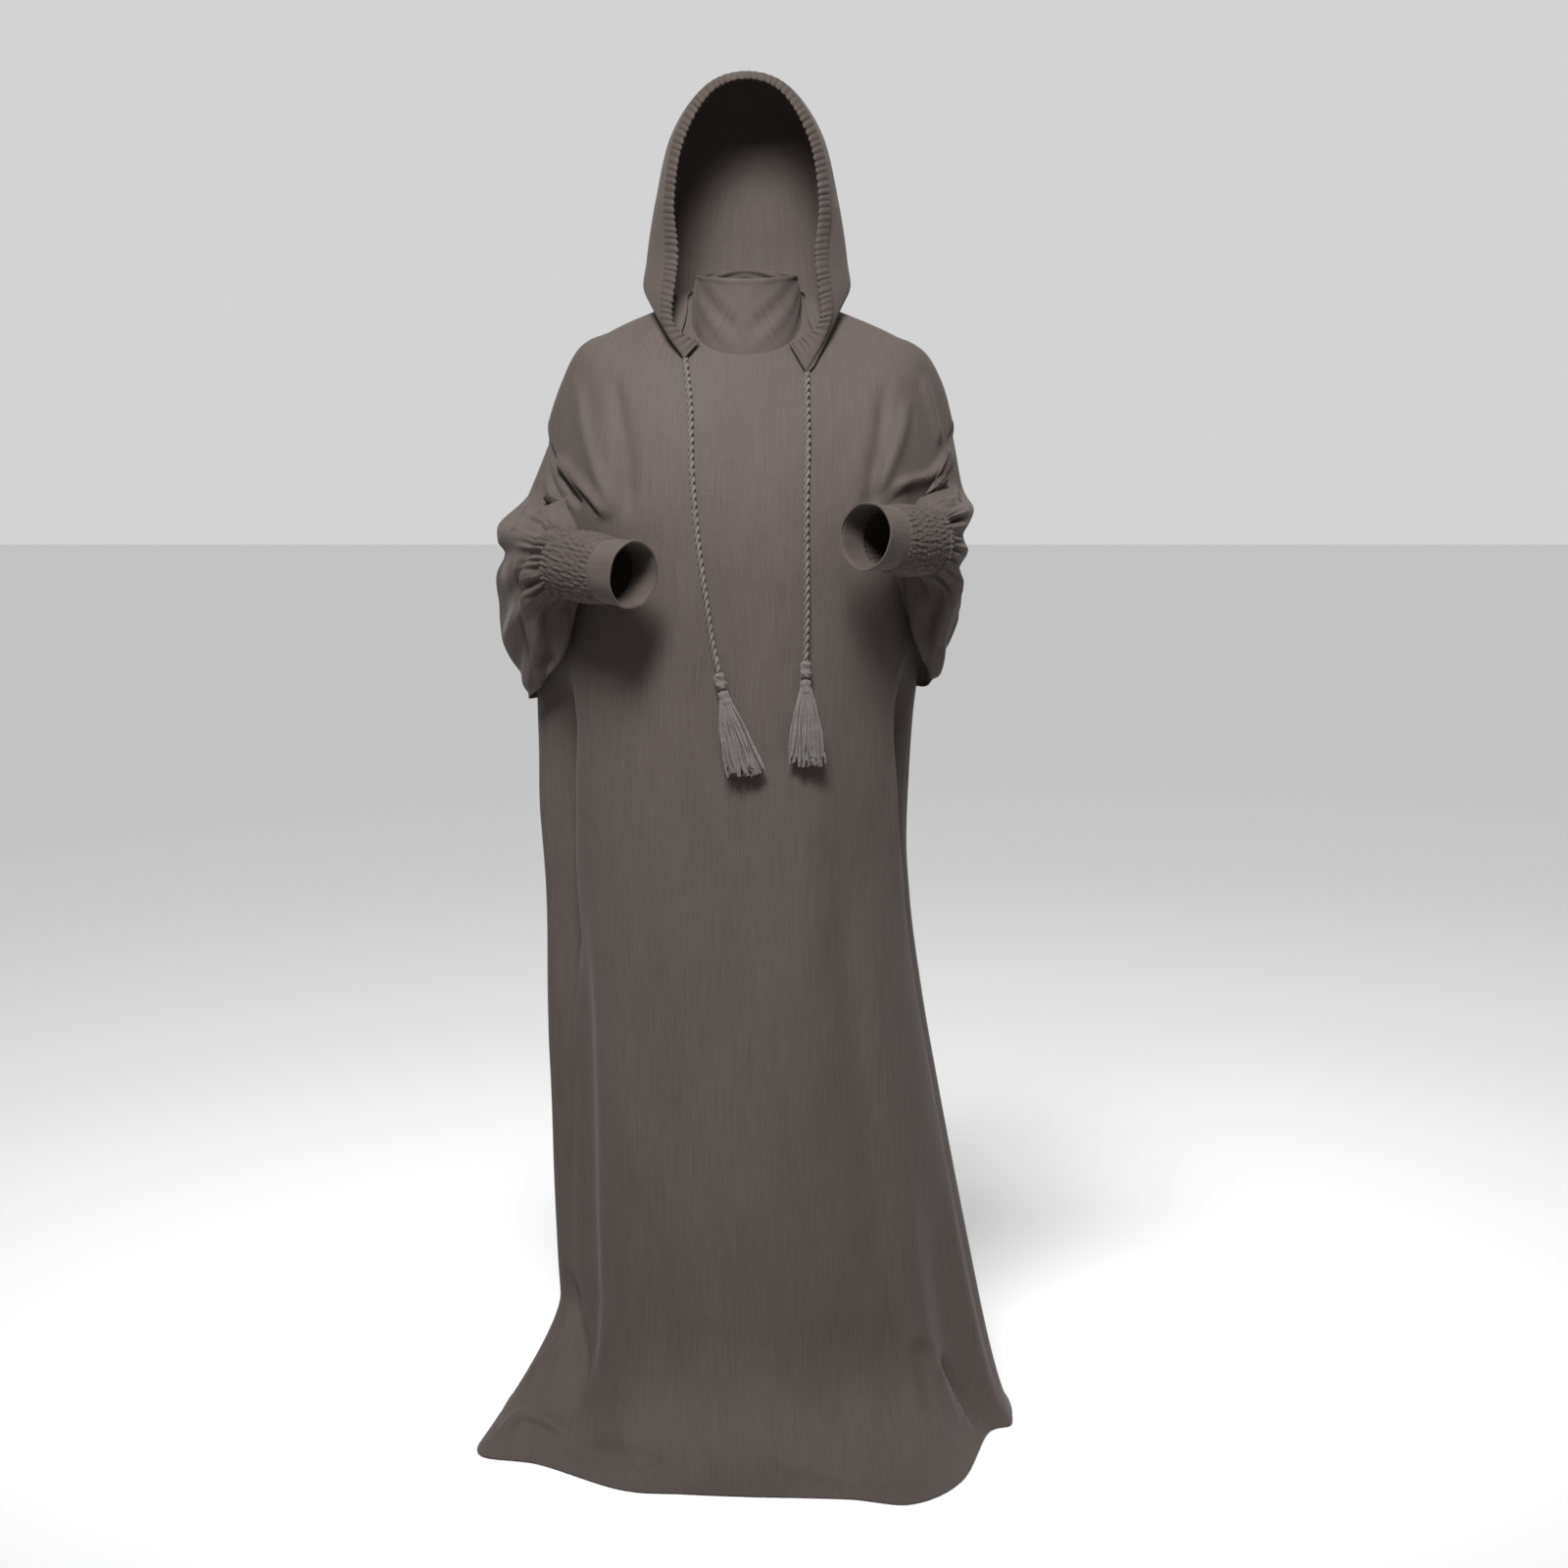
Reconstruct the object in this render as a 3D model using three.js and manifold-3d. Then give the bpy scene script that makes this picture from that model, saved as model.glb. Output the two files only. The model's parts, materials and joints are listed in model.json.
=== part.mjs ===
// Hooded prayer dress, filled out as worn: front and back panels with wide drop-shoulder sleeves,
// smocked cuffs, a funnel collar, a two-piece hood with a ruched drawcord casing, and two twisted
// drawcords that end in knots and tassels.
// Millimetres, +Z up, the front of the dress faces -Y, and its own left side is +X.
// The origin lies between the shoulders at the base of the neck, where the dress hangs from the shoulders.

import * as THREE from "three";
import { mergeVertices } from "three/addons/utils/BufferGeometryUtils.js";
import Module from "manifold-3d";

const wasm = await Module();
wasm.setup();

// Driving sizes
const FLOOR_Z = -1340;
const WALL = 1.6;
const SEAM_GAP = 0.3;
const MITRE = 0.8;
const NECK_ROWS = 7;
const ARMHOLE_ROWS = 10;
const SKIRT_ROWS = 10;
const HEM_ROWS = 5;
const FRONT_COLUMNS = 26;
const BACK_COLUMNS = 16;
const SLEEVE_RINGS = 11;
const CUFF_RADIUS = 36;
const CUFF_COLUMNS = 24;
const CUFF_ROWS = 12;
const SMOCK_PUFF = 3;
const SMOCK_SWELL = 3;
const BAND_FLARE = [0, 1.2, 1.8];
const CORD_DIAMETER = 6.5;
const MERGE = 1e-4;

const CLOTH = { color: 0x6b625e, roughness: 0.78, metalness: 0 };
const CORD_YARN = { color: 0x8d8480, roughness: 0.85, metalness: 0 };

// Loops round the body from the neckline down: the height of the loop at the front, the right and left
// sides and the back, its reach to the right and left, its depth to the front and back, and how flat
// its front and back are (1 for an ellipse, less for a squarer loop).
const LOOP_COLUMNS = ["frontZ", "rightZ", "leftZ", "backZ", "right", "left", "front", "back", "flat"];
const BODY_LOOPS = [
  [-64, 2, 2, 16, 62, 68, 80, 50, 0.5],
  [-108, -24, -26, -20, 136, 148, 100, 84, 0.72],
  [-150, -54, -56, -70, 184, 203, 118, 104, 0.9],
  [-196, -100, -92, -122, 209, 227, 133, 118, 1],
  [-240, -162, -140, -172, 229, 240, 144, 127, 1],
  [-276, -225, -205, -232, 242, 250, 150, 132, 1],
  [-322, -292, -282, -298, 246, 244, 154, 135, 1],
  [-396, -380, -368, -382, 247, 224, 157, 138, 1],
  [-474, -470, -456, -462, 248, 206, 160, 142, 1],
  [-570, -566, -562, -566, 245, 199, 164, 150, 1],
  [-690, -690, -690, -690, 238, 197, 170, 160, 1],
  [-815, -815, -815, -815, 237, 212, 178, 172, 1],
  [-940, -940, -940, -940, 232, 234, 188, 186, 1],
  [-1065, -1065, -1065, -1065, 229, 258, 200, 200, 1],
  [-1190, -1190, -1190, -1190, 224, 283, 214, 216, 1],
].map((row) => Object.fromEntries(LOOP_COLUMNS.map((column, k) => [column, row[k]])));
const ARMHOLE_TOP = 4;
const ARMHOLE_FOOT = 8;
const BREAK_LOOP = BODY_LOOPS.length - 1;

// Where the front and back panels end at the armhole, in degrees from the centre front, on each side.
const ARMHOLE_EDGES = [
  { rightFront: 90, rightBack: 90, leftFront: 90, leftBack: 90 },
  { rightFront: 60, rightBack: 106, leftFront: 58, leftBack: 106 },
  { rightFront: 47, rightBack: 117, leftFront: 47, leftBack: 116 },
  { rightFront: 58, rightBack: 110, leftFront: 60, leftBack: 108 },
  { rightFront: 90, rightBack: 90, leftFront: 90, leftBack: 90 },
];

// The hem as it lies on the floor, by degrees from the centre front, the right side negative. The lift
// is the height over the floor at which the falling cloth starts to bend out.
const HEM_LINE = [
  { angle: -180, x: -20, y: 262, lift: 10 },
  { angle: -150, x: -180, y: 236, lift: 10 },
  { angle: -118, x: -276, y: 110, lift: 30 },
  { angle: -92, x: -300, y: -70, lift: 105 },
  { angle: -74, x: -309, y: -198, lift: 95 },
  { angle: -55, x: -236, y: -238, lift: 25 },
  { angle: -34, x: -138, y: -334, lift: 10 },
  { angle: -14, x: -62, y: -351, lift: 8 },
  { angle: 0, x: 6, y: -360, lift: 8 },
  { angle: 22, x: 118, y: -369, lift: 8 },
  { angle: 38, x: 190, y: -387, lift: 10 },
  { angle: 52, x: 250, y: -300, lift: 20 },
  { angle: 66, x: 290, y: -112, lift: 20 },
  { angle: 84, x: 322, y: -64, lift: 30 },
  { angle: 118, x: 306, y: 110, lift: 30 },
  { angle: 150, x: 170, y: 236, lift: 10 },
  { angle: 180, x: -20, y: 262, lift: 10 },
];

// Folds of the body, each a ridge (depth over 0) or a trough that runs down from one angle to another.
const BODY_FOLDS = [
  { from: -62, to: -76, top: -400, foot: -900, depth: -46, width: 10, fadeIn: 110, fadeOut: 320 },
  { from: 68, to: 84, top: -390, foot: -700, depth: -34, width: 10, fadeIn: 110, fadeOut: 200 },
  { from: -62, to: -64, top: -640, foot: -1300, depth: -28, width: 14, fadeIn: 220, fadeOut: 130 },
  { from: -38, to: -35, top: -800, foot: -1320, depth: 9, width: 10, fadeIn: 250, fadeOut: 60 },
  { from: 66, to: 60, top: -980, foot: -1340, depth: -20, width: 10, fadeIn: 200, fadeOut: 30 },
  { from: 24, to: 22, top: -380, foot: -1240, depth: 8, width: 12, fadeIn: 200, fadeOut: 200 },
  { from: -14, to: -6, top: -330, foot: -1100, depth: -6, width: 11, fadeIn: 150, fadeOut: 300 },
  { from: -48, to: -38, top: -90, foot: -340, depth: 8, width: 9, fadeIn: 90, fadeOut: 110 },
  { from: 50, to: 38, top: -90, foot: -310, depth: 8, width: 9, fadeIn: 90, fadeOut: 110 },
  { from: 132, to: 130, top: -240, foot: -1340, depth: 15, width: 9, fadeIn: 300, fadeOut: 30 },
  { from: 150, to: 150, top: -240, foot: -1340, depth: -17, width: 8, fadeIn: 300, fadeOut: 30 },
  { from: 168, to: 170, top: -200, foot: -1340, depth: 13, width: 8, fadeIn: 300, fadeOut: 30 },
  { from: 188, to: 190, top: -240, foot: -1340, depth: -15, width: 8, fadeIn: 300, fadeOut: 30 },
  { from: 206, to: 210, top: -200, foot: -1340, depth: 14, width: 8, fadeIn: 300, fadeOut: 30 },
  { from: 225, to: 230, top: -260, foot: -1340, depth: -16, width: 9, fadeIn: 300, fadeOut: 30 },
];

// How far the top, inner side, foot and outer side of each sleeve have moved off the armhole a little
// way along it.
const SLEEVE_LEAVES = {
  right: { top: [14, -10, -10], inner: [8, -12, 0], foot: [8, -13, 0], outer: [28, 0, -4] },
  left: { top: [14, -10, -10], inner: [8, -12, 0], foot: [9, -14, 0], outer: [22, 0, -4] },
};

// Rings of each sleeve between its armhole and the cuff: their top, inner, foot and outer points as x, y
// and z, with x measured out from the middle of the body. The inner side faces the front of the body.
const RIGHT_SLEEVE = [
  { top: [258, -50, -222], inner: [187, -120, -302], foot: [248, -62, -458], outer: [286, -12, -318] },
  { top: [250, -92, -244], inner: [190, -124, -302], foot: [240, -100, -416], outer: [284, -80, -318] },
  { top: [230, -128, -256], inner: [194, -126, -303], foot: [226, -134, -364], outer: [260, -140, -310] },
];
const LEFT_SLEEVE = [
  { top: [262, -54, -206], inner: [187, -121, -279], foot: [224, -68, -440], outer: [256, -20, -290] },
  { top: [254, -100, -222], inner: [192, -125, -279], foot: [228, -106, -394], outer: [258, -88, -288] },
  { top: [238, -136, -230], inner: [198, -128, -279], foot: [228, -138, -338], outer: [256, -146, -284] },
];

// Cuffs: where the smocking starts and where the plain band ends.
const CUFFS = {
  right: { start: [-204, -160, -303], end: [-122, -238, -313], table: RIGHT_SLEEVE },
  left: { start: [211, -164, -279], end: [138, -243, -269], table: LEFT_SLEEVE },
};
const SMOCK_SHARE = 0.66;

// Folds of a sleeve: place round the ring (0 top, 0.25 inner side, 0.5 foot, 0.75 outer side),
// place along it (0 armhole, 1 cuff), depth, and the half widths of both.
const SLEEVE_FOLDS = [
  { round: 0.05, along: 0.5, depth: -5, wideRound: 0.05, wideAlong: 0.25 },
  { round: 0.93, along: 0.48, depth: -7, wideRound: 0.04, wideAlong: 0.28 },
  { round: 0.86, along: 0.6, depth: 7, wideRound: 0.04, wideAlong: 0.22 },
  { round: 0.79, along: 0.5, depth: -7, wideRound: 0.035, wideAlong: 0.28 },
  { round: 0.7, along: 0.6, depth: -5, wideRound: 0.035, wideAlong: 0.2 },
];
const GATHER_DEPTH = 2.2;
const WALL_SOFTENING = 7;

// Control lines of half the hood, from the neckline up: each has a row per arch, which are the front
// rim of the casing, the seam behind it, three arches over the crown, and the centre back. A row gives
// how far the line is out from the middle of the hood.
const HOOD_CENTRE_X = 3;
const HOOD_BASE = {
  right: [
    { angle: 50, place: 0.1, lift: 5 },
    { angle: 42, place: 0.57, lift: 5 },
    { angle: 84, place: 0.12, lift: 4 },
    { angle: 116, place: 0.08, lift: 3 },
    { angle: 150, place: 0.05, lift: 2 },
    { angle: 180, place: 0.05, lift: 2 },
  ],
  left: [
    { angle: 46, place: 0.1, lift: 5 },
    { angle: 33, place: 0.8, lift: 5 },
    { angle: 84, place: 0.12, lift: 4 },
    { angle: 116, place: 0.08, lift: 3 },
    { angle: 150, place: 0.05, lift: 2 },
    { angle: 180, place: 0.05, lift: 2 },
  ],
};
const HOOD_LOW = [
  { out: 85, y: -66, z: -24 },
  { out: 99, y: -58, z: -22 },
  { out: 119, y: 4, z: 7 },
  { out: 102, y: 58, z: 10 },
  { out: 58, y: 91, z: 0 },
  { out: 0, y: 94, z: -8 },
];
const HOOD_SIDE = [
  { out: 80, y: -38, z: 52 },
  { out: 95, y: -24, z: 54 },
  { out: 119, y: 20, z: 50 },
  { out: 104, y: 76, z: 50 },
  { out: 62, y: 109, z: 42 },
  { out: 0, y: 116, z: 34 },
];
const HOOD_MID = [
  { out: 85, y: -24, z: 114 },
  { out: 97, y: -8, z: 116 },
  { out: 109, y: 34, z: 118 },
  { out: 93, y: 84, z: 118 },
  { out: 58, y: 118, z: 108 },
  { out: 0, y: 127, z: 98 },
];
const HOOD_UPPER = [
  { out: 74, y: -12, z: 186 },
  { out: 85, y: 4, z: 192 },
  { out: 89, y: 42, z: 198 },
  { out: 74, y: 88, z: 190 },
  { out: 46, y: 122, z: 170 },
  { out: 0, y: 131, z: 148 },
];
const HOOD_CROWN = [
  { out: 42, y: 0, z: 243 },
  { out: 49, y: 16, z: 251 },
  { out: 50, y: 48, z: 253 },
  { out: 42, y: 92, z: 240 },
  { out: 26, y: 122, z: 212 },
  { out: 0, y: 131, z: 182 },
];
const HOOD_TOP = [
  { out: 0, y: 6, z: 260 },
  { out: 0, y: 24, z: 269 },
  { out: 0, y: 54, z: 272 },
  { out: 0, y: 95, z: 258 },
  { out: 0, y: 124, z: 230 },
  { out: 0, y: 130, z: 206 },
];
const HOOD_LINES = [HOOD_LOW, HOOD_SIDE, HOOD_MID, HOOD_UPPER, HOOD_CROWN, HOOD_TOP];
const TOP_LINE = HOOD_LINES.length;
const BACK_ARCH = HOOD_LOW.length - 1;
const HOOD_ROWS = 11;
const HOOD_COLUMNS = 15;
const TIP_COLUMNS = 3;
const CASING_WALL = 2.6;
const CASING_COLUMNS = 102;
const CASING_WAVE = 1.3;
const CASING_WAVE_SHARES = [1, 0.7, 0.1];
const CASING_SAMPLES = 240;

// The collar: its grid, and the reach, depth and heights of its top edge.
const COLLAR_COLUMNS = 14;
const COLLAR_ROWS = 4;
const COLLAR_TOP = { right: 56, left: 62, front: 72, back: 48, frontZ: 24, sideZ: 30, backZ: 40 };

// The drawcords as they fall from the casing down the front: x and height of the points they pass, and
// how far the middle of the cord is off the cloth.
const CORD_ROUTES = {
  right: [
    { x: -67, z: -71.4, off: 6 },
    { x: -61, z: -130, off: 5.5 },
    { x: -59, z: -197, off: 5 },
    { x: -52, z: -275, off: 5 },
    { x: -43, z: -340, off: 5.5 },
    { x: -35, z: -393, off: 6.5 },
    { x: -27, z: -428, off: 9.5 },
  ],
  left: [
    { x: 73, z: -87.4, off: 6 },
    { x: 73, z: -116, off: 5.5 },
    { x: 74, z: -163, off: 5 },
    { x: 72, z: -241, off: 5 },
    { x: 72, z: -300, off: 5 },
    { x: 72, z: -353, off: 6 },
    { x: 70, z: -415, off: 9.5 },
  ],
};
const CORD_SIDES = 8;
const CORD_STEPS = 26;

// The two bulbs of a cord's knot and the bound head of a tassel, by the distance down from their tops.
const KNOT = [
  { down: 0, radius: 0 },
  { down: 0.4, radius: 3.4 },
  { down: 4.2, radius: 6.2 },
  { down: 9.4, radius: 4.6 },
  { down: 14.6, radius: 6.6 },
  { down: 19.2, radius: 5.2 },
  { down: 21, radius: 3 },
  { down: 21.2, radius: 0 },
];
const TASSEL_HEAD = [
  { down: 0, radius: 0 },
  { down: 0.4, radius: 4.2 },
  { down: 4.5, radius: 6.2 },
  { down: 9, radius: 5.6 },
  { down: 13, radius: 6.4 },
  { down: 17, radius: 6.2 },
  { down: 17.6, radius: 0 },
];
const KNOT_SIDES = 10;

// The strands of a tassel: how far its middle one falls, how wide they are rooted in the head and spread
// at their ends, how uneven their lengths are, and the turn from one strand to the next.
const TASSEL_LEAN = { right: [28, -15, -92], left: [2, -15, -93] };
const STRANDS = 24;
const STRAND_RADIUS = 1.1;
const STRAND_ROOT_DOWN = 11.5;
const STRAND_ROOT_RADIUS = 4.4;
const STRAND_SPREAD_X = 23;
const STRAND_SPREAD_Y = 6;
const STRAND_UNEVEN = 7;
const STRAND_TURN = 2.39996;

const toRadians = THREE.MathUtils.degToRad;
const smooth = (low, high, x) => THREE.MathUtils.smoothstep(x, low, high);
const bell = (x) => Math.exp(-x * x);

// Catmull-Rom value through four neighbours.
function spline(a, b, c, d, f) {
  return (
    0.5 * (2 * b + (c - a) * f + (2 * a - 5 * b + 4 * c - d) * f * f + (3 * b - a - 3 * c + d) * f ** 3)
  );
}

// A row of a table at any place between its rows, with every named column interpolated.
function rowAt(table, place) {
  const last = table.length - 1;
  const i = Math.max(0, Math.min(Math.floor(place), last - 1));
  const pick = (k) => table[Math.max(0, Math.min(last, k))];
  const row = {};
  for (const key of Object.keys(table[0])) {
    row[key] = spline(pick(i - 1)[key], pick(i)[key], pick(i + 1)[key], pick(i + 2)[key], place - i);
  }
  return row;
}

// A point between the vectors of a list, by Catmull-Rom.
function alongPoints(points, place) {
  const at = rowAt(
    points.map((p) => ({ x: p.x, y: p.y, z: p.z })),
    place,
  );
  return new THREE.Vector3(at.x, at.y, at.z);
}

// Brings an angle in degrees into -180 to 180.
const wrapped = (angle) => ((((angle + 180) % 360) + 360) % 360) - 180;

// How far the folds move the cloth out at an angle and height.
function foldDepth(angle, z) {
  let sum = 0;
  for (const fold of BODY_FOLDS) {
    const share = THREE.MathUtils.clamp((fold.top - z) / (fold.top - fold.foot), 0, 1);
    const middle = fold.from + (fold.to - fold.from) * share;
    const away = wrapped(angle - middle) / fold.width;
    const fade =
      smooth(-fold.top, -fold.top + fold.fadeIn, -z) *
      (1 - smooth(-fold.foot - fold.fadeOut, -fold.foot, -z));
    sum += fold.depth * fade * bell(away);
  }
  return sum;
}

// The body's cloth at an angle from the centre front and a place down the loops.
function bodyLoopPoint(angle, place) {
  const row = rowAt(BODY_LOOPS, Math.min(place, BREAK_LOOP));
  const s = Math.sin(toRadians(angle));
  const c = Math.cos(toRadians(angle));
  const endZ = c > 0 ? row.frontZ : row.backZ;
  const sideZ = s < 0 ? row.rightZ : row.leftZ;
  const middleZ = (row.rightZ + row.leftZ) / 2;
  const z = middleZ + (sideZ - middleZ) * s * s + (endZ - middleZ) * Math.abs(c) ** (2 * row.flat ** 2);
  const across = s < 0 ? row.right : row.left;
  const deep = c > 0 ? row.front : row.back;
  const out = new THREE.Vector3(s / across, -c / deep, 0).normalize();
  const y = -deep * Math.sign(c) * Math.abs(c) ** row.flat;
  return new THREE.Vector3(s * across, y, z).addScaledVector(out, foldDepth(angle, z));
}

// The hem's point on the floor at an angle.
function hemPoint(angle) {
  const a = wrapped(angle);
  let i = 0;
  while (i < HEM_LINE.length - 2 && a > HEM_LINE[i + 1].angle) i++;
  const share = (a - HEM_LINE[i].angle) / (HEM_LINE[i + 1].angle - HEM_LINE[i].angle);
  const at = rowAt(HEM_LINE, i + share);
  return { point: new THREE.Vector3(at.x, at.y, FLOOR_Z + WALL), lift: at.lift };
}

// The whole body surface. Below the last loop the cloth bends outwards and lies down on the floor.
function bodyPoint(angle, place) {
  if (place <= BREAK_LOOP) return bodyLoopPoint(angle, place);
  const share = place - BREAK_LOOP;
  const start = bodyLoopPoint(angle, BREAK_LOOP);
  const above = bodyLoopPoint(angle, BREAK_LOOP - 0.2);
  const end = hemPoint(angle);
  const slope = start.clone().sub(above);
  const bend = start.clone().addScaledVector(slope, (end.point.z + end.lift - start.z) / slope.z);
  const a = start.lerp(bend, share);
  return a.lerp(bend.lerp(end.point, share), share);
}

// The outward normal of a surface given by a function of two parameters.
function normalAt(surface, a, b, stepA, stepB) {
  const alongA = surface(a + stepA, b).sub(surface(a - stepA, b));
  const alongB = surface(a, b + stepB).sub(surface(a, b - stepB));
  return alongB.cross(alongA).normalize();
}
function bodyNormal(angle, place) {
  const inside = THREE.MathUtils.clamp(place, 0.02, BREAK_LOOP + 0.99);
  return normalAt(bodyPoint, angle, inside, 0.4, 0.02);
}

// Triangles of a grid of points, either wound forwards or backwards.
function gridFaces(rows, columns, base, closed, forwards, faces) {
  const across = closed ? columns : columns - 1;
  for (let i = 0; i < rows - 1; i++) {
    for (let j = 0; j < across; j++) {
      const a = base + i * columns + j;
      const b = base + i * columns + ((j + 1) % columns);
      const c = a + columns;
      const d = b + columns;
      if (forwards) faces.push(a, c, b, b, c, d);
      else faces.push(a, b, c, b, d, c);
    }
  }
}

// A closed wall between an outer and an inner grid of points. Tubes are closed round their columns.
function wallGeometry(outer, inner, closed) {
  const columns = outer[0].length;
  const points = [...outer.flat(), ...inner.flat()];
  const innerBase = outer.length * columns;
  const faces = [];
  gridFaces(outer.length, columns, 0, closed, true, faces);
  gridFaces(inner.length, columns, innerBase, closed, false, faces);
  const rim = (a, b, c, d) => faces.push(a, b, c, b, d, c);
  const across = closed ? columns : columns - 1;
  const outerLast = (outer.length - 1) * columns;
  const innerLast = innerBase + (inner.length - 1) * columns;
  for (let j = 0; j < across; j++) {
    const k = (j + 1) % columns;
    rim(j, k, innerBase + j, innerBase + k);
    rim(outerLast + k, outerLast + j, innerLast + k, innerLast + j);
  }
  if (!closed) {
    for (let i = 0; i < outer.length - 1; i++) {
      const a = i * columns;
      faces.push(a + columns, a, innerBase + a, a + columns, innerBase + a, innerBase + a + columns);
      const b = a + columns - 1;
      rim(b, b + columns, innerBase + b, innerBase + b + columns);
    }
  }
  return solidGeometry(points, faces);
}

// A geometry from points and faces, turned round where its faces point in.
function solidGeometry(points, faces) {
  let volume = 0;
  for (let i = 0; i < faces.length; i += 3) {
    const [a, b, c] = [points[faces[i]], points[faces[i + 1]], points[faces[i + 2]]];
    volume += a.dot(b.clone().cross(c));
  }
  if (volume < 0) faces.reverse();
  const geometry = new THREE.BufferGeometry().setFromPoints(points);
  geometry.setIndex(faces);
  return geometry;
}

const inwards = (points, normals, wall) => points.map((p, j) => p.clone().addScaledVector(normals[j], -wall));

// The places of the rows down the body, with even steps in each stretch.
function bodyPlaces() {
  const places = [];
  const stretch = (from, to, steps) => {
    for (let i = 0; i < steps; i++) places.push(from + ((to - from) * i) / steps);
  };
  stretch(0, ARMHOLE_TOP, NECK_ROWS);
  stretch(ARMHOLE_TOP, ARMHOLE_FOOT, ARMHOLE_ROWS);
  stretch(ARMHOLE_FOOT, BREAK_LOOP, SKIRT_ROWS);
  stretch(BREAK_LOOP, BREAK_LOOP + 1, HEM_ROWS);
  places.push(BREAK_LOOP + 1);
  return places;
}

// Where a panel ends at a place down the body, in degrees from the centre front.
function panelEdge(column, place) {
  if (place <= ARMHOLE_TOP || place >= ARMHOLE_FOOT) return 90;
  return rowAt(ARMHOLE_EDGES, place - ARMHOLE_TOP)[column];
}

// Half the seam gap, square to a seam that runs down the body, on the side of a nearby point.
function seamStep(angle, place, towards) {
  const at = bodyPoint(angle, place);
  const high = Math.max(place - 0.1, 0);
  const low = Math.min(place + 0.1, BREAK_LOOP + 1);
  const down = bodyPoint(angle, low).sub(bodyPoint(angle, high));
  const across = down.cross(bodyNormal(angle, place)).setLength(SEAM_GAP / 2);
  if (across.dot(towards.clone().sub(at)) < 0) across.negate();
  return across;
}

// The seam of an armhole at an angle on its edge: the point, the direction in which both walls are cut
// there, and the step from the panel to the sleeve.
function armholeSeam(angle, place) {
  const sign = wrapped(angle) < 0 ? -1 : 1;
  const turn = Math.abs(wrapped(angle));
  const column = (sign < 0 ? "right" : "left") + (turn < 90 ? "Front" : "Back");
  const point = bodyPoint(angle, place);
  const normal = bodyNormal(angle, place);
  const atTip = place <= ARMHOLE_TOP || place >= ARMHOLE_FOOT;
  const edgeAt = (q) => bodyPoint(sign * panelEdge(column, q), q);
  const towards = atTip
    ? bodyPoint(angle, place + (place <= ARMHOLE_TOP ? 0.1 : -0.1))
    : bodyPoint(sign * (turn < 90 ? turn + 1 : turn - 1), place);
  towards.sub(point);
  const along = atTip ? towards.clone().cross(normal) : edgeAt(place + 0.05).sub(edgeAt(place - 0.05));
  const across = along.clone().cross(normal).normalize();
  if (across.dot(towards) < 0) across.negate();
  const mitre = normal.addScaledVector(across, -MITRE).normalize();
  const step = along.cross(mitre).setLength(SEAM_GAP);
  if (step.dot(across) < 0) step.negate();
  return { point, mitre, step };
}

// A body panel between its two edges. Its seam edges stop half the gap short of the next panel.
function panel(columns, startEdge, endEdge) {
  const outer = [];
  const inner = [];
  for (const place of bodyPlaces()) {
    const start = startEdge(place);
    const end = endEdge(place);
    const inArmhole = place > ARMHOLE_TOP && place < ARMHOLE_FOOT;
    const points = [];
    const normals = [];
    for (let j = 0; j <= columns; j++) {
      const angle = start + ((end - start) * j) / columns;
      points.push(bodyPoint(angle, place));
      const onEdge = inArmhole && (j === 0 || j === columns);
      normals.push(onEdge ? armholeSeam(angle, place).mitre : bodyNormal(angle, place));
    }
    const row = { outer: points, inner: inwards(points, normals, WALL) };
    if (!inArmhole) {
      for (const [edge, next] of [[0, 1], [columns, columns - 1]]) {
        const step = seamStep(start + ((end - start) * edge) / columns, place, points[next]);
        row.outer[edge] = points[edge].clone().add(step);
        row.inner[edge] = row.inner[edge].clone().add(step);
      }
    }
    outer.push(row.outer);
    inner.push(row.inner);
  }
  return wallGeometry(outer, inner, false);
}

// The edge of one armhole as a ring of outer points and wall directions: down its front, then up its
// back, with a point added between each two.
function armholeRing(side) {
  const sign = side === "right" ? -1 : 1;
  const ring = [];
  const add = (column, place) => {
    const { point, mitre, step } = armholeSeam(sign * panelEdge(side + column, place), place);
    ring.push({ point: point.add(step), normal: mitre });
  };
  const rise = (ARMHOLE_FOOT - ARMHOLE_TOP) / ARMHOLE_ROWS;
  for (let i = 0; i <= ARMHOLE_ROWS; i++) add("Front", ARMHOLE_TOP + i * rise);
  for (let i = ARMHOLE_ROWS - 1; i > 0; i--) add("Back", ARMHOLE_TOP + i * rise);
  return ring.flatMap((r, k) => {
    const next = ring[(k + 1) % ring.length];
    const point = r.point.clone().lerp(next.point, 0.5);
    return [r, { point, normal: r.normal.clone().add(next.normal).normalize() }];
  });
}

// The place round the sleeve (0 top, 0.25 front, 0.5 foot) of each point of an armhole ring.
function armholeRounds(ring) {
  const half = ring.length / 2;
  const top = ring[0].point;
  const foot = ring[half].point;
  const front = ring[half / 2].point;
  const back = ring[half + half / 2].point;
  const centre = top.clone().add(foot).add(front).add(back).multiplyScalar(0.25);
  const tall = top.clone().sub(foot).multiplyScalar(0.5);
  const wide = front.clone().sub(back).multiplyScalar(0.5);
  return ring.map(({ point }) => {
    const arm = point.clone().sub(centre);
    const turn = Math.atan2(arm.dot(wide) / wide.lengthSq(), arm.dot(tall) / tall.lengthSq());
    return (turn / (2 * Math.PI) + 1) % 1;
  });
}

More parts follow.
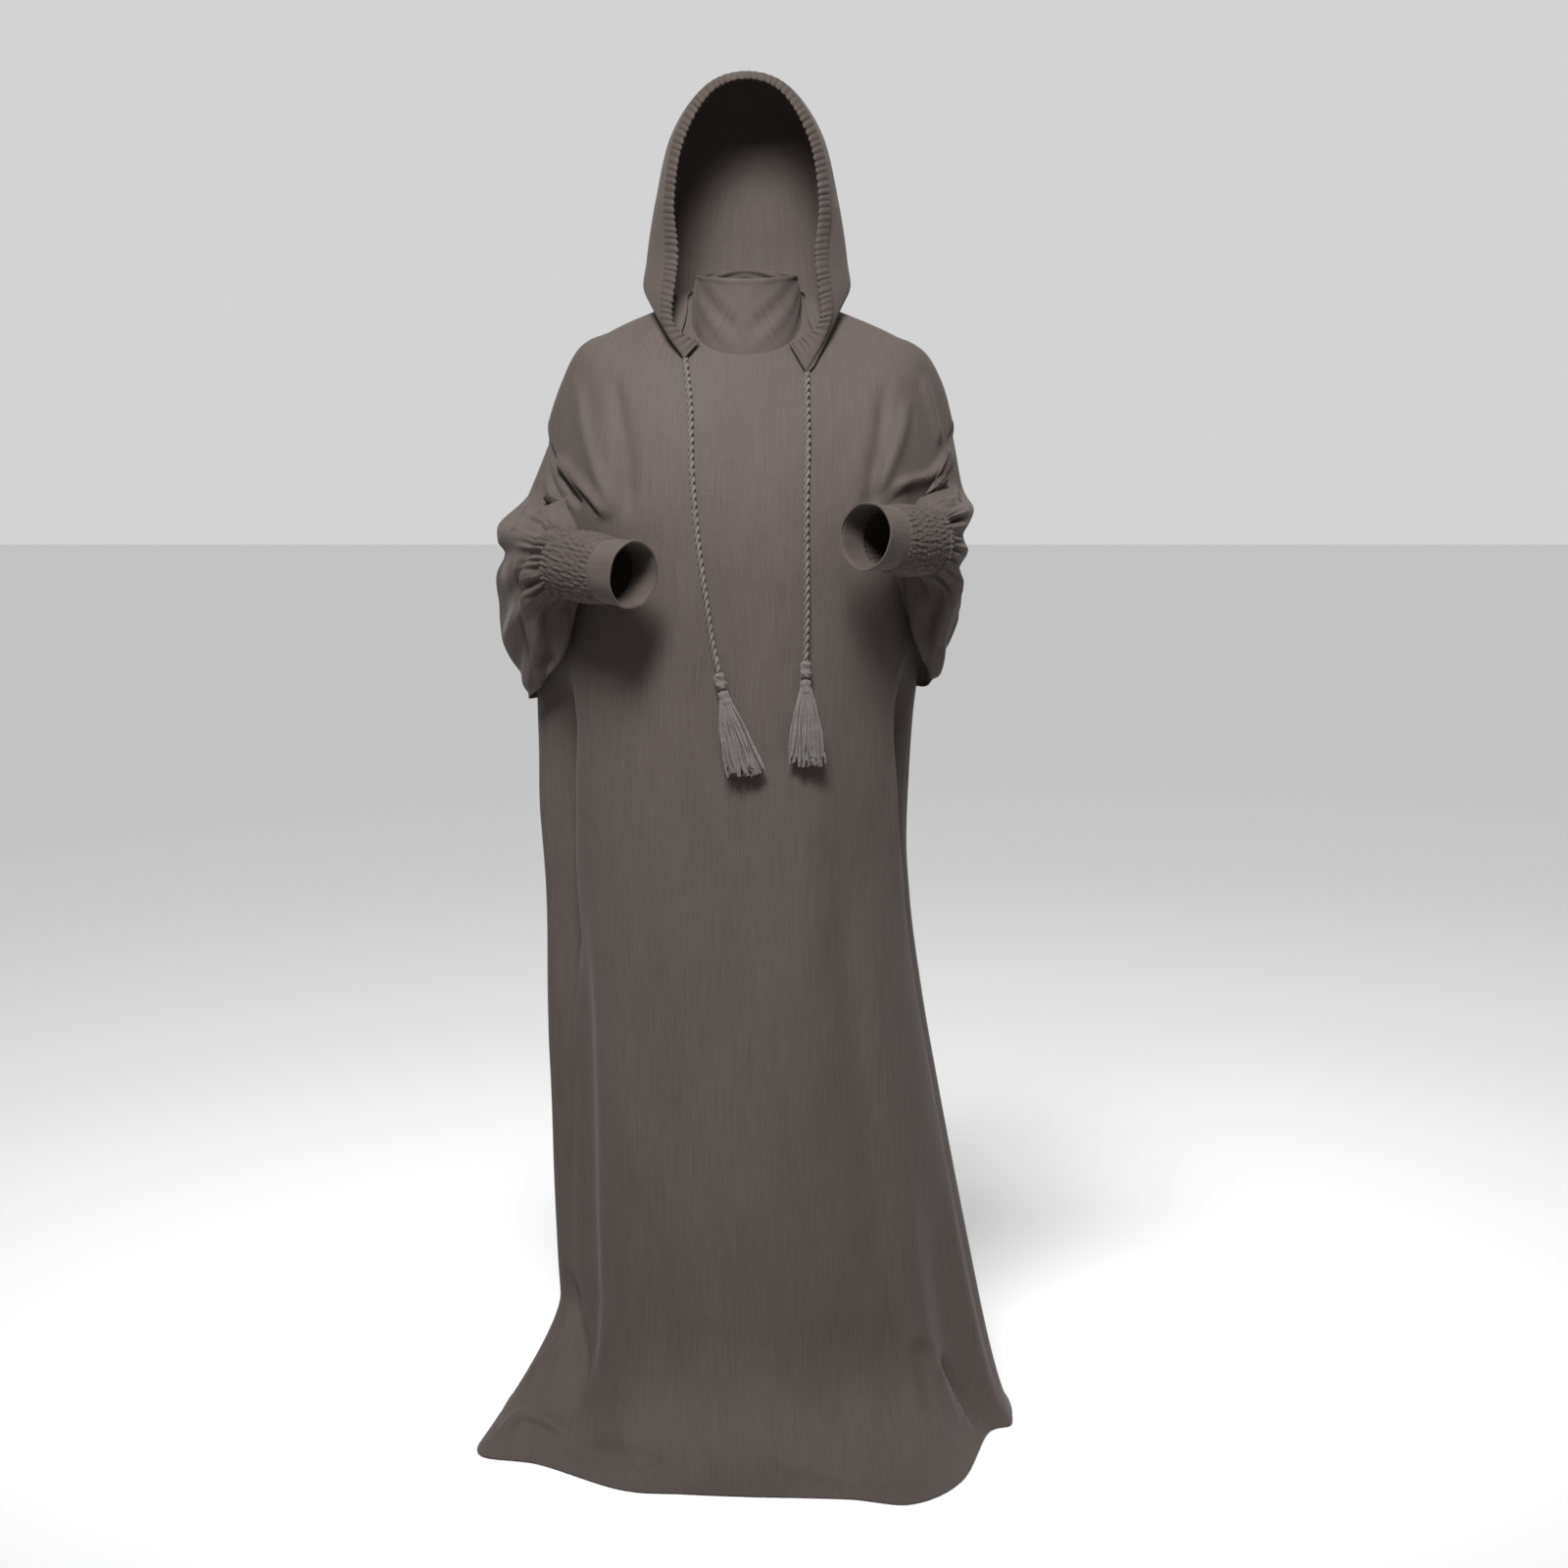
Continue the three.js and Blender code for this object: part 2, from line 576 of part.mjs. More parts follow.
// The axes of a cuff: along its tube, up, and towards the inner side of the sleeve.
function cuffFrame(side) {
  const { start, end } = CUFFS[side];
  const origin = new THREE.Vector3(...start);
  const axis = new THREE.Vector3(...end).sub(origin);
  const length = axis.length();
  axis.normalize();
  const up = new THREE.Vector3(0, 0, 1).addScaledVector(axis, -axis.z).normalize();
  const inner = up.clone().cross(axis);
  if (side === "right") inner.negate();
  inner.normalize();
  if (inner.y < 0) inner.negate();
  return { origin, axis, up, inner, length };
}

function cuffPoint(frame, round, along, radius) {
  const turn = round * 2 * Math.PI;
  return frame.origin
    .clone()
    .addScaledVector(frame.axis, along)
    .addScaledVector(frame.up, radius * Math.cos(turn))
    .addScaledVector(frame.inner, radius * Math.sin(turn));
}

// A ring of a sleeve through its top, inner, foot and outer points.
function sleeveRingPoint(row, sign, round) {
  const at = ([x, y, z]) => new THREE.Vector3(sign * x, y, z);
  const [top, inner, foot, outer] = [row.top, row.inner, row.foot, row.outer].map(at);
  const turn = round * 2 * Math.PI;
  const tall = top.clone().add(foot);
  const wide = inner.clone().add(outer);
  return tall
    .clone()
    .add(wide)
    .multiplyScalar(0.25)
    .addScaledVector(top.sub(foot), 0.5 * Math.cos(turn))
    .addScaledVector(inner.sub(outer), 0.5 * Math.sin(turn))
    .addScaledVector(tall.sub(wide), 0.25 * Math.cos(2 * turn));
}

// How far the sleeve's folds move its cloth out.
function sleeveFold(round, along) {
  let sum = 0;
  for (const fold of SLEEVE_FOLDS) {
    const away = wrapped((round - fold.round) * 360) / 360 / fold.wideRound;
    sum += fold.depth * bell(away) * bell((along - fold.along) / fold.wideAlong);
  }
  return sum * smooth(0.06, 0.34, along) * (1 - smooth(0.86, 0.97, along));
}

function sleeve(side) {
  const sign = side === "right" ? -1 : 1;
  const armhole = armholeRing(side);
  const frame = cuffFrame(side);
  const table = CUFFS[side].table;
  const columns = armhole.length;
  const rounds = armholeRounds(armhole);
  const lines = armhole.map((start, j) => {
    const round = rounds[j];
    const rings = table.map((row) => sleeveRingPoint(row, sign, round));
    const leaves = start.point.clone().add(sleeveRingPoint(SLEEVE_LEAVES[side], sign, round));
    const points = [start.point, leaves, ...rings, cuffPoint(frame, round, -SEAM_GAP, CUFF_RADIUS)];
    return new THREE.CatmullRomCurve3(points, false, "centripetal");
  });
  const grid = [];
  for (let i = 0; i <= SLEEVE_RINGS; i++) {
    const along = i / SLEEVE_RINGS;
    grid.push(lines.map((line) => line.getPoint(along)));
  }
  const normals = gridNormals(grid, true);
  grid.forEach((row, i) => {
    const along = i / SLEEVE_RINGS;
    const gather = GATHER_DEPTH * smooth(0.7, 0.9, along) * (1 - smooth(0.96, 1, along));
    row.forEach((p, j) => {
      const wave = j % 2 ? gather : -gather;
      p.addScaledVector(normals[i][j], sleeveFold(rounds[j], along) + wave);
    });
  });
  const folded = softened(gridNormals(grid, true), WALL_SOFTENING);
  folded[0] = armhole.map((a) => a.normal);
  folded[SLEEVE_RINGS] = grid[0].map((_, j) =>
    cuffPoint(frame, rounds[j], 0, 1).sub(frame.origin).normalize(),
  );
  return wallGeometry(grid, grid.map((row, i) => inwards(row, folded[i], WALL)), true);
}

// The directions of a closed grid, each averaged with its neighbours a number of times over.
function softened(normals, times) {
  let current = normals;
  for (let turn = 0; turn < times; turn++) {
    const from = current;
    const last = from.length - 1;
    current = from.map((row, i) =>
      row.map((n, j) => {
        const sum = n.clone().multiplyScalar(2);
        sum.add(row[(j + 1) % row.length]).add(row[(j - 1 + row.length) % row.length]);
        sum.add(from[Math.min(i + 1, last)][j]).add(from[Math.max(i - 1, 0)][j]);
        return sum.normalize();
      }),
    );
  }
  return current;
}

// Outward normals of a grid of points, either closed round its columns or open.
function gridNormals(grid, closed) {
  const lastRow = grid.length - 1;
  const columns = grid[0].length;
  const beside = (j, step) =>
    closed ? (j + step + columns) % columns : THREE.MathUtils.clamp(j + step, 0, columns - 1);
  const middle = new THREE.Vector3();
  grid.flat().forEach((p) => middle.addScaledVector(p, 1 / (grid.length * columns)));
  let outwards = 0;
  const normals = grid.map((row, i) =>
    row.map((p, j) => {
      const round = row[beside(j, 1)].clone().sub(row[beside(j, -1)]);
      const along = grid[Math.min(i + 1, lastRow)][j].clone().sub(grid[Math.max(i - 1, 0)][j]);
      const normal = round.cross(along).normalize();
      outwards += normal.dot(p.clone().sub(middle));
      return normal;
    }),
  );
  if (outwards < 0) normals.flat().forEach((n) => n.negate());
  return normals;
}

// The smocked part of a cuff: staggered puffs raised on the outside of a plain tube.
function smockedCuff(side) {
  const frame = cuffFrame(side);
  const long = frame.length * SMOCK_SHARE - SEAM_GAP;
  const columns = CUFF_COLUMNS;
  const rows = CUFF_ROWS;
  const outer = [];
  for (let i = 0; i <= rows; i++) {
    const share = i / rows;
    const ends = smooth(0, 0.1, share) * (1 - smooth(0.9, 1, share));
    outer.push(
      Array.from({ length: columns }, (_, j) => {
        const raised = (i + j) % 2 ? SMOCK_PUFF : 0;
        const swell = SMOCK_SWELL * Math.sin(Math.PI * share);
        return cuffPoint(frame, j / columns, long * share, CUFF_RADIUS + ends * (raised + swell));
      }),
    );
  }
  const innerPoint = (share, j) => cuffPoint(frame, j / columns, long * share, CUFF_RADIUS - WALL);
  const inner = [0, 0.5, 1].map((share) => Array.from({ length: columns }, (_, j) => innerPoint(share, j)));
  return wallGeometry(outer, inner, true);
}

function cuffBand(side) {
  const frame = cuffFrame(side);
  const from = frame.length * SMOCK_SHARE;
  const columns = CUFF_COLUMNS;
  const ring = (radius) =>
    BAND_FLARE.map((extra, i) =>
      Array.from({ length: columns }, (_, j) =>
        cuffPoint(frame, j / columns, from + ((frame.length - from) * i) / 2, radius + extra),
      ),
    );
  return wallGeometry(ring(CUFF_RADIUS), ring(CUFF_RADIUS - 2 * WALL), true);
}

// A point of the hood or its casing: arch from 0 (rim) to 5 (centre back), line from 0 (neckline) to 6
// (top). The tables are mirrored past the middle, so that the cloth runs smoothly over the seam.
function hoodPoint(sign, arch, line) {
  const base = rowAt(HOOD_BASE[sign < 0 ? "right" : "left"], arch);
  const foot = bodyPoint(sign * base.angle, base.place);
  foot.addScaledVector(bodyNormal(sign * base.angle, base.place), base.lift);
  const points = [foot];
  for (const table of HOOD_LINES) {
    const beyond = { ...table[4], out: -table[4].out };
    const row = rowAt([...table, beyond], arch);
    points.push(new THREE.Vector3(HOOD_CENTRE_X + sign * row.out, row.y, row.z));
  }
  const crown = points[5].clone();
  crown.x = 2 * HOOD_CENTRE_X - crown.x;
  return alongPoints([...points, crown], line);
}

// The grid and normals of half the hood, and the rim of its casing at the same lines. The edges that
// meet the other half lie in the middle plane.
function hoodGrid(sign) {
  const lines = Array.from({ length: HOOD_COLUMNS }, (_, j) => (TOP_LINE * j) / (HOOD_COLUMNS - 1));
  const rim = lines.map((line) => hoodPoint(sign, 0, line));
  const grid = [];
  for (let i = 0; i < HOOD_ROWS; i++) {
    const arch = 1 + ((BACK_ARCH - 1) * i) / (HOOD_ROWS - 1);
    grid.push(lines.map((line) => hoodPoint(sign, arch, line)));
  }
  const [rimNormals, ...normals] = gridNormals([rim, ...grid], false);
  for (let j = 0; j < TIP_COLUMNS; j++) normals[0][j].add(normals[1][j]).normalize();
  const last = HOOD_COLUMNS - 1;
  const middle = [...grid.map((row) => row[last]), ...grid[HOOD_ROWS - 1].slice(0, -1).reverse()];
  const flat = middle.map((p, k) => {
    const next = middle[Math.min(k + 1, middle.length - 1)];
    const before = middle[Math.max(k - 1, 0)];
    return new THREE.Vector3(0, before.z - next.z, next.y - before.y).normalize();
  });
  grid.forEach((row, i) => {
    normals[i][last] = flat[i];
    row[last].x = HOOD_CENTRE_X + (sign * SEAM_GAP) / 2;
  });
  grid[HOOD_ROWS - 1].forEach((p, j) => {
    normals[HOOD_ROWS - 1][j] = flat[HOOD_ROWS - 1 + last - j];
    p.x = HOOD_CENTRE_X + (sign * SEAM_GAP) / 2;
  });
  rimNormals[last] = flat[0];
  return { grid, normals, rimNormals };
}

function hoodHalf(side) {
  const { grid, normals } = hoodGrid(side === "right" ? -1 : 1);
  return wallGeometry(grid, grid.map((row, i) => inwards(row, normals[i], WALL)), false);
}

// The gathered casing round the front of the hood, from its right end over the top to its left end. Its
// back edge follows the front edge of the hood.
function hoodCasing() {
  const edges = { "-1": hoodGrid(-1), 1: hoodGrid(1) };
  const at = (u) => ({ sign: u < 0 ? -1 : 1, line: TOP_LINE * (1 - Math.abs(u)) });
  const samples = CASING_SAMPLES;
  const lengths = [0];
  for (let k = 1; k <= samples; k++) {
    const [a, b] = [at((2 * (k - 1)) / samples - 1), at((2 * k) / samples - 1)];
    const step = hoodPoint(a.sign, 0.5, a.line).distanceTo(hoodPoint(b.sign, 0.5, b.line));
    lengths.push(lengths[k - 1] + step);
  }
  const grid = [[], [], []];
  const normals = [[], [], []];
  for (let j = 0; j < CASING_COLUMNS; j++) {
    const want = (lengths[samples] * j) / (CASING_COLUMNS - 1);
    let k = 1;
    while (k < samples && lengths[k] < want) k++;
    const share = (want - lengths[k - 1]) / (lengths[k] - lengths[k - 1]);
    const { sign, line } = at((2 * (k - 1 + share)) / samples - 1);
    const edge = edges[sign];
    const place = (line / TOP_LINE) * (HOOD_COLUMNS - 1);
    const m = Math.min(Math.floor(place), HOOD_COLUMNS - 2);
    const seam = edge.grid[0][m].clone().lerp(edge.grid[0][m + 1], place - m);
    const between = (row) => row[m].clone().lerp(row[m + 1], place - m).normalize();
    const rimNormal = between(edge.rimNormals);
    const seamNormal = between(edge.normals[0]);
    const rim = hoodPoint(sign, 0, line);
    const forwards = rim.clone().sub(seam).setLength(3 * SEAM_GAP);
    grid[0].push(rim);
    grid[1].push(rim.clone().lerp(seam, 0.5));
    grid[2].push(seam.add(forwards));
    normals[0].push(rimNormal);
    normals[1].push(rimNormal.clone().add(seamNormal).normalize());
    normals[2].push(seamNormal);
  }
  const waved = grid.map((row, i) =>
    row.map((p, j) => {
      const uneven = 0.75 + 0.35 * Math.sin(j * 1.7) * Math.cos(j * 0.37);
      const wave = CASING_WAVE * CASING_WAVE_SHARES[i] * uneven * (j % 2 ? 1 : -1);
      return p.clone().addScaledVector(normals[i][j], wave);
    }),
  );
  return wallGeometry(waved, waved.map((row, i) => inwards(row, normals[i], CASING_WALL)), false);
}

// Half the funnel collar between the centre front and the centre back.
function collarHalf(side) {
  const sign = side === "right" ? -1 : 1;
  const columns = COLLAR_COLUMNS;
  const rows = COLLAR_ROWS;
  const grid = [];
  for (let i = 0; i <= rows; i++) {
    const share = i / rows;
    const row = [];
    for (let j = 0; j <= columns; j++) {
      const angle = (180 * j) / columns;
      const s = Math.sin(toRadians(angle));
      const c = Math.cos(toRadians(angle));
      const foot = bodyPoint(sign * angle, 0);
      foot.z += SEAM_GAP;
      const deep = c > 0 ? COLLAR_TOP.front : COLLAR_TOP.back;
      const endZ = c > 0 ? COLLAR_TOP.frontZ : COLLAR_TOP.backZ;
      const top = new THREE.Vector3(
        sign * s * (sign < 0 ? COLLAR_TOP.right : COLLAR_TOP.left),
        -deep * Math.sign(c) * Math.abs(c) ** 0.8,
        COLLAR_TOP.sideZ + (endZ - COLLAR_TOP.sideZ) * c * c,
      );
      const p = foot.lerp(top, share);
      if (j === 0 || j === columns) p.x += (sign * SEAM_GAP) / 2;
      row.push(p);
    }
    grid.push(row);
  }
  const normals = gridNormals(grid, false);
  normals.forEach((row) => {
    row[0] = new THREE.Vector3(0, row[0].y, row[0].z).normalize();
    row[columns] = new THREE.Vector3(0, row[columns].y, row[columns].z).normalize();
  });
  normals[0] = normals[0].map((n) => new THREE.Vector3(n.x, n.y, 0).normalize());
  return wallGeometry(grid, grid.map((row, i) => inwards(row, normals[i], WALL)), false);
}

// The point that stands a given distance off the front of the body at an x and a height.
function offFront(x, z, distance) {
  let angle = 0;
  let place = 0;
  for (let turn = 0; turn < 20; turn++) {
    let low = 0;
    let high = BREAK_LOOP;
    for (let step = 0; step < 26; step++) {
      place = (low + high) / 2;
      if (bodyPoint(angle, place).z > z) low = place;
      else high = place;
    }
    angle += (x - bodyPoint(angle, place).x) / 4;
  }
  return bodyPoint(angle, place).addScaledVector(bodyNormal(angle, place), distance);
}

function cordCurve(side) {
  const points = CORD_ROUTES[side].map(({ x, z, off }) => offFront(x, z, off));
  return new THREE.CatmullRomCurve3(points, false, "centripetal");
}

function drawcord(side) {
  const ring = new THREE.Shape();
  for (let k = 0; k < CORD_SIDES; k++) {
    const turn = (k / CORD_SIDES) * 2 * Math.PI;
    ring[k ? "lineTo" : "moveTo"]((CORD_DIAMETER / 2) * Math.cos(turn), (CORD_DIAMETER / 2) * Math.sin(turn));
  }
  ring.closePath();
  const solid = new THREE.ExtrudeGeometry(ring, { steps: CORD_STEPS, extrudePath: cordCurve(side) });
  const bare = new THREE.BufferGeometry().setAttribute("position", solid.getAttribute("position"));
  return mergeVertices(bare, MERGE);
}

// A solid of revolution that starts at a point and runs along a direction.
function turned(profile, segments, start, direction) {
  const points = profile.map(({ radius, down }) => new THREE.Vector2(radius, -down));
  const lathe = new THREE.LatheGeometry(points, segments);
  lathe.deleteAttribute("normal");
  lathe.deleteAttribute("uv");
  const solid = mergeVertices(lathe, MERGE);
  solid.setIndex(Array.from(solid.index.array).reverse());
  const turn = new THREE.Quaternion().setFromUnitVectors(new THREE.Vector3(0, -1, 0), direction);
  solid.applyQuaternion(turn);
  solid.translate(start.x, start.y, start.z);
  return solid;
}

function knotStart(side) {
  const curve = cordCurve(side);
  const direction = curve.getTangent(1).normalize();
  return { direction, start: curve.getPoint(1).addScaledVector(direction, SEAM_GAP) };
}

function knot(side) {
  const { start, direction } = knotStart(side);
  return turned(KNOT, KNOT_SIDES, start, direction);
}

// A closed solid of manifold-3d from a geometry that may be wound either way.
function solidOf(geometry) {
  const positions = new Float32Array(geometry.getAttribute("position").array);
  const build = (triVerts) =>
    new wasm.Manifold(new wasm.Mesh({ numProp: 3, vertProperties: positions, triVerts }));
  const faces = new Uint32Array(geometry.index.array);
  const solid = build(faces);
  return solid.volume() > 0 ? solid : build(faces.reverse());
}

// A tassel: its bound head and the strands that grow out of it and spread as they fall.
function tassel(side) {
  const { start, direction } = knotStart(side);
  const headStart = start.clone().addScaledVector(direction, KNOT[KNOT.length - 1].down + SEAM_GAP);
  const lean = new THREE.Vector3(...TASSEL_LEAN[side]);
  const axis = lean.clone().normalize();
  let solid = solidOf(turned(TASSEL_HEAD, KNOT_SIDES, headStart, axis));
  for (let k = 0; k < STRANDS; k++) {
    const turn = k * STRAND_TURN;
    const spread = Math.sqrt((k + 0.5) / STRANDS);
    const from = headStart.clone().addScaledVector(axis, STRAND_ROOT_DOWN);
    from.x += STRAND_ROOT_RADIUS * spread * Math.cos(turn);
    from.y += STRAND_ROOT_RADIUS * spread * Math.sin(turn);
    const to = headStart.clone().add(lean);
    to.x += STRAND_SPREAD_X * spread * Math.cos(turn);
    to.y += STRAND_SPREAD_Y * spread * Math.sin(turn);
    to.z += STRAND_UNEVEN * Math.sin(k * 1.9);
    solid = wasm.Manifold.union(solid, solidOf(strand(from, to)));
  }
  const made = solid.getMesh();
  const geometry = new THREE.BufferGeometry();
  const positions = new Float32Array(made.vertProperties);
  geometry.setAttribute("position", new THREE.BufferAttribute(positions, made.numProp));
  geometry.setIndex(new THREE.BufferAttribute(made.triVerts, 1));
  return geometry;
}

// One strand with three sides.
function strand(from, to) {
  const points = [];
  const faces = [];
  const rings = [0, 0.45, 1];
  rings.forEach((share) => {
    const centre = from.clone().lerp(to, share);
    for (let k = 0; k < 3; k++) {
      const turn = (k / 3) * 2 * Math.PI;
      const x = centre.x + STRAND_RADIUS * Math.cos(turn);
      points.push(new THREE.Vector3(x, centre.y + STRAND_RADIUS * Math.sin(turn), centre.z));
    }
  });
  gridFaces(rings.length, 3, 0, true, true, faces);
  faces.push(0, 1, 2, 8, 7, 6);
  return solidGeometry(points, faces);
}

const mesh = (name, geometry, finish) => {
  const made = new THREE.Mesh(geometry, new THREE.MeshStandardMaterial(finish));
  made.name = name;
  return made;
};

const dress = new THREE.Group();
const frontEdge = (sign, side) => (place) => sign * panelEdge(side + "Front", place);
const backEdge = (sign, side) => (place) => sign * panelEdge(side + "Back", place);
dress.add(
  mesh("front_panel", panel(FRONT_COLUMNS, frontEdge(-1, "right"), frontEdge(1, "left")), CLOTH),
  mesh(
    "back_panel",
    panel(BACK_COLUMNS, backEdge(1, "left"), (place) => 360 - panelEdge("rightBack", place)),
    CLOTH,
  ),
);
for (const side of ["right", "left"]) {
  dress.add(
    mesh("sleeve_" + side, sleeve(side), CLOTH),
    mesh("cuff_smocked_" + side, smockedCuff(side), CLOTH),
    mesh("cuff_band_" + side, cuffBand(side), CLOTH),
  );
}

for (const side of ["right", "left"]) {
  dress.add(
    mesh("collar_" + side, collarHalf(side), CLOTH),
    mesh("hood_" + side, hoodHalf(side), CLOTH),
    mesh("drawcord_" + side, drawcord(side), CORD_YARN),
    mesh("knot_" + side, knot(side), CORD_YARN),
    mesh("tassel_" + side, tassel(side), CORD_YARN),
  );
}
dress.add(mesh("hood_casing", hoodCasing(), CLOTH));

export default dress;
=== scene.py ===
"""Hooded prayer dress, filled out as worn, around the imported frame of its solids.

Tables and sizes are in millimetres, as the dress was cut, and every mesh is made in metres.
+Z is up, the front of the dress faces -Y, and its own left side is +X.
"""

import json
import math

import bpy
import numpy as np
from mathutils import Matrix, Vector

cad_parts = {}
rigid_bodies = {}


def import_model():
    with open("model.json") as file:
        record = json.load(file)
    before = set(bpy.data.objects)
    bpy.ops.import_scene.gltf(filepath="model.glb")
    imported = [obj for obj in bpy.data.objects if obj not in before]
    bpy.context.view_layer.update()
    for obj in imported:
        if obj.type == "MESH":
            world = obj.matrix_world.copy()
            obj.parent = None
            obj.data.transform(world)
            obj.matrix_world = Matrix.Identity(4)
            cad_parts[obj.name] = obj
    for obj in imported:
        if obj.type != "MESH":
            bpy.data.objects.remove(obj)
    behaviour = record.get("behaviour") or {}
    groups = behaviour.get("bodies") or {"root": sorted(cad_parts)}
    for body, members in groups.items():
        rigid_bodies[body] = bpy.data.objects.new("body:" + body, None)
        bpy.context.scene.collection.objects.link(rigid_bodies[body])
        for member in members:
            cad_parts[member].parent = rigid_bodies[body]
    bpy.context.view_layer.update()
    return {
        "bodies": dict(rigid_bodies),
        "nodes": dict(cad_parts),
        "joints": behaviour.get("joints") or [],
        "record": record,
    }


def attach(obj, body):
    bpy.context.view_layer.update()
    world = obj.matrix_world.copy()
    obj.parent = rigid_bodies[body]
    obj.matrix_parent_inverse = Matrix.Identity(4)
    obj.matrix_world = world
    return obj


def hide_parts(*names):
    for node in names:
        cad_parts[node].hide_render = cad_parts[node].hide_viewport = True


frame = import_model()

MM = 0.001
FLOOR_Z = -1340.0
SHELL = 0.9
SIDES = ("right", "left")
SIGN = {"right": -1, "left": 1}
CREASE_ENDS = 0.25
CREASE_STEPS = 60
HEM_LIFT = 1.6
BODY_HUB = np.array([0, 0, -700])
COLLAR_HUB = np.array([0, -14, -20])

# Loops round the body from the neckline down. Columns: front z, right z, left z, back z, reach to the
# right and left, depth to the front and back, flatness.
BODY_LOOPS = np.array([
    (-64, 2, 2, 16, 62, 68, 80, 50, 0.5),
    (-108, -24, -26, -20, 136, 148, 100, 84, 0.72),
    (-150, -54, -56, -70, 184, 203, 118, 104, 0.9),
    (-196, -100, -92, -122, 209, 227, 133, 118, 1),
    (-240, -162, -140, -172, 229, 240, 144, 127, 1),
    (-276, -225, -205, -232, 242, 250, 150, 132, 1),
    (-322, -292, -282, -298, 246, 244, 154, 135, 1),
    (-396, -380, -368, -382, 247, 224, 157, 138, 1),
    (-474, -470, -456, -462, 248, 206, 160, 142, 1),
    (-570, -566, -562, -566, 245, 199, 164, 150, 1),
    (-690, -690, -690, -690, 238, 197, 170, 160, 1),
    (-815, -815, -815, -815, 237, 212, 178, 172, 1),
    (-940, -940, -940, -940, 232, 234, 188, 186, 1),
    (-1065, -1065, -1065, -1065, 229, 258, 200, 200, 1),
    (-1190, -1190, -1190, -1190, 224, 283, 214, 216, 1),
], dtype=float)
ARMHOLE_TOP = 4
ARMHOLE_FOOT = 8
BREAK_LOOP = len(BODY_LOOPS) - 1

# Where the panels end at the armhole, in degrees from the centre front.
ARMHOLE_EDGES = {
    "right_front": np.array([90, 60, 47, 58, 90], dtype=float)[:, None],
    "right_back": np.array([90, 106, 117, 110, 90], dtype=float)[:, None],
    "left_front": np.array([90, 58, 47, 60, 90], dtype=float)[:, None],
    "left_back": np.array([90, 106, 116, 108, 90], dtype=float)[:, None],
}

# The hem on the floor. Columns: angle, x, y, height at which the falling cloth starts to bend out.
HEM_LINE = np.array([
    (-180, -20, 262, 10), (-150, -180, 236, 10), (-118, -276, 110, 30), (-92, -300, -70, 105),
    (-74, -309, -198, 95), (-55, -236, -238, 25), (-34, -138, -334, 10), (-14, -62, -351, 8),
    (0, 6, -360, 8), (22, 118, -369, 8), (38, 190, -387, 10), (52, 250, -300, 20),
    (66, 290, -112, 20), (84, 322, -64, 30), (118, 306, 110, 30), (150, 170, 236, 10),
    (180, -20, 262, 10),
], dtype=float)

# Large folds of the body. Columns: angle at the top and foot, z of the top and foot, depth, half width
# in degrees, lengths over which it fades in and out.
BODY_FOLDS = [
    (-62, -76, -400, -900, -46, 10, 110, 320),
    (68, 84, -390, -700, -34, 10, 110, 200),
    (-62, -64, -640, -1300, -28, 14, 220, 130),
    (-38, -35, -800, -1320, 9, 10, 250, 60),
    (66, 60, -980, -1340, -20, 10, 200, 30),
    (24, 22, -380, -1240, 8, 12, 200, 200),
    (-14, -6, -330, -1100, -6, 11, 150, 300),
    (-48, -38, -90, -340, 8, 9, 90, 110),
    (50, 38, -90, -310, 8, 9, 90, 110),
    (132, 130, -240, -1340, 15, 9, 300, 30),
    (150, 150, -240, -1340, -17, 8, 300, 30),
    (168, 170, -200, -1340, 13, 8, 300, 30),
    (188, 190, -240, -1340, -15, 8, 300, 30),
    (206, 210, -200, -1340, 14, 8, 300, 30),
    (225, 230, -260, -1340, -16, 9, 300, 30),
    (-54, -64, -420, -840, 7, 4.5, 60, 300),
    (-71, -80, -560, -1240, -6, 4, 120, 200),
    (-84, -83, -500, -1300, 6, 4, 120, 160),
    (-47, -50, -620, -1325, 6, 5, 200, 60),
    (-30, -27, -560, -1300, -3.5, 7, 260, 120),
    (4, 9, -420, -1320, 2.5, 8, 200, 100),
    (34, 37, -560, -1310, -4, 6, 260, 90),
    (47, 47, -640, -1320, 5, 5.5, 220, 70),
    (60, 71, -400, -760, 6, 4.5, 60, 220),
    (80, 82, -560, -1300, -5, 4, 140, 120),
    (110, 112, -420, -1330, -8, 5, 240, 40),
    (122, 120, -520, -1330, 6, 4, 240, 40),
    (141, 140, -330, -1330, 7, 4, 300, 40),
    (159, 160, -300, -1330, 6, 4, 300, 40),
    (178, 180, -320, -1330, -7, 5, 300, 40),
    (197, 199, -330, -1330, 6, 4, 300, 40),
    (216, 219, -330, -1330, -6, 4, 300, 40),
    (238, 240, -420, -1330, 7, 4, 240, 40),
    (250, 250, -520, -1330, -6, 5, 240, 40),
]

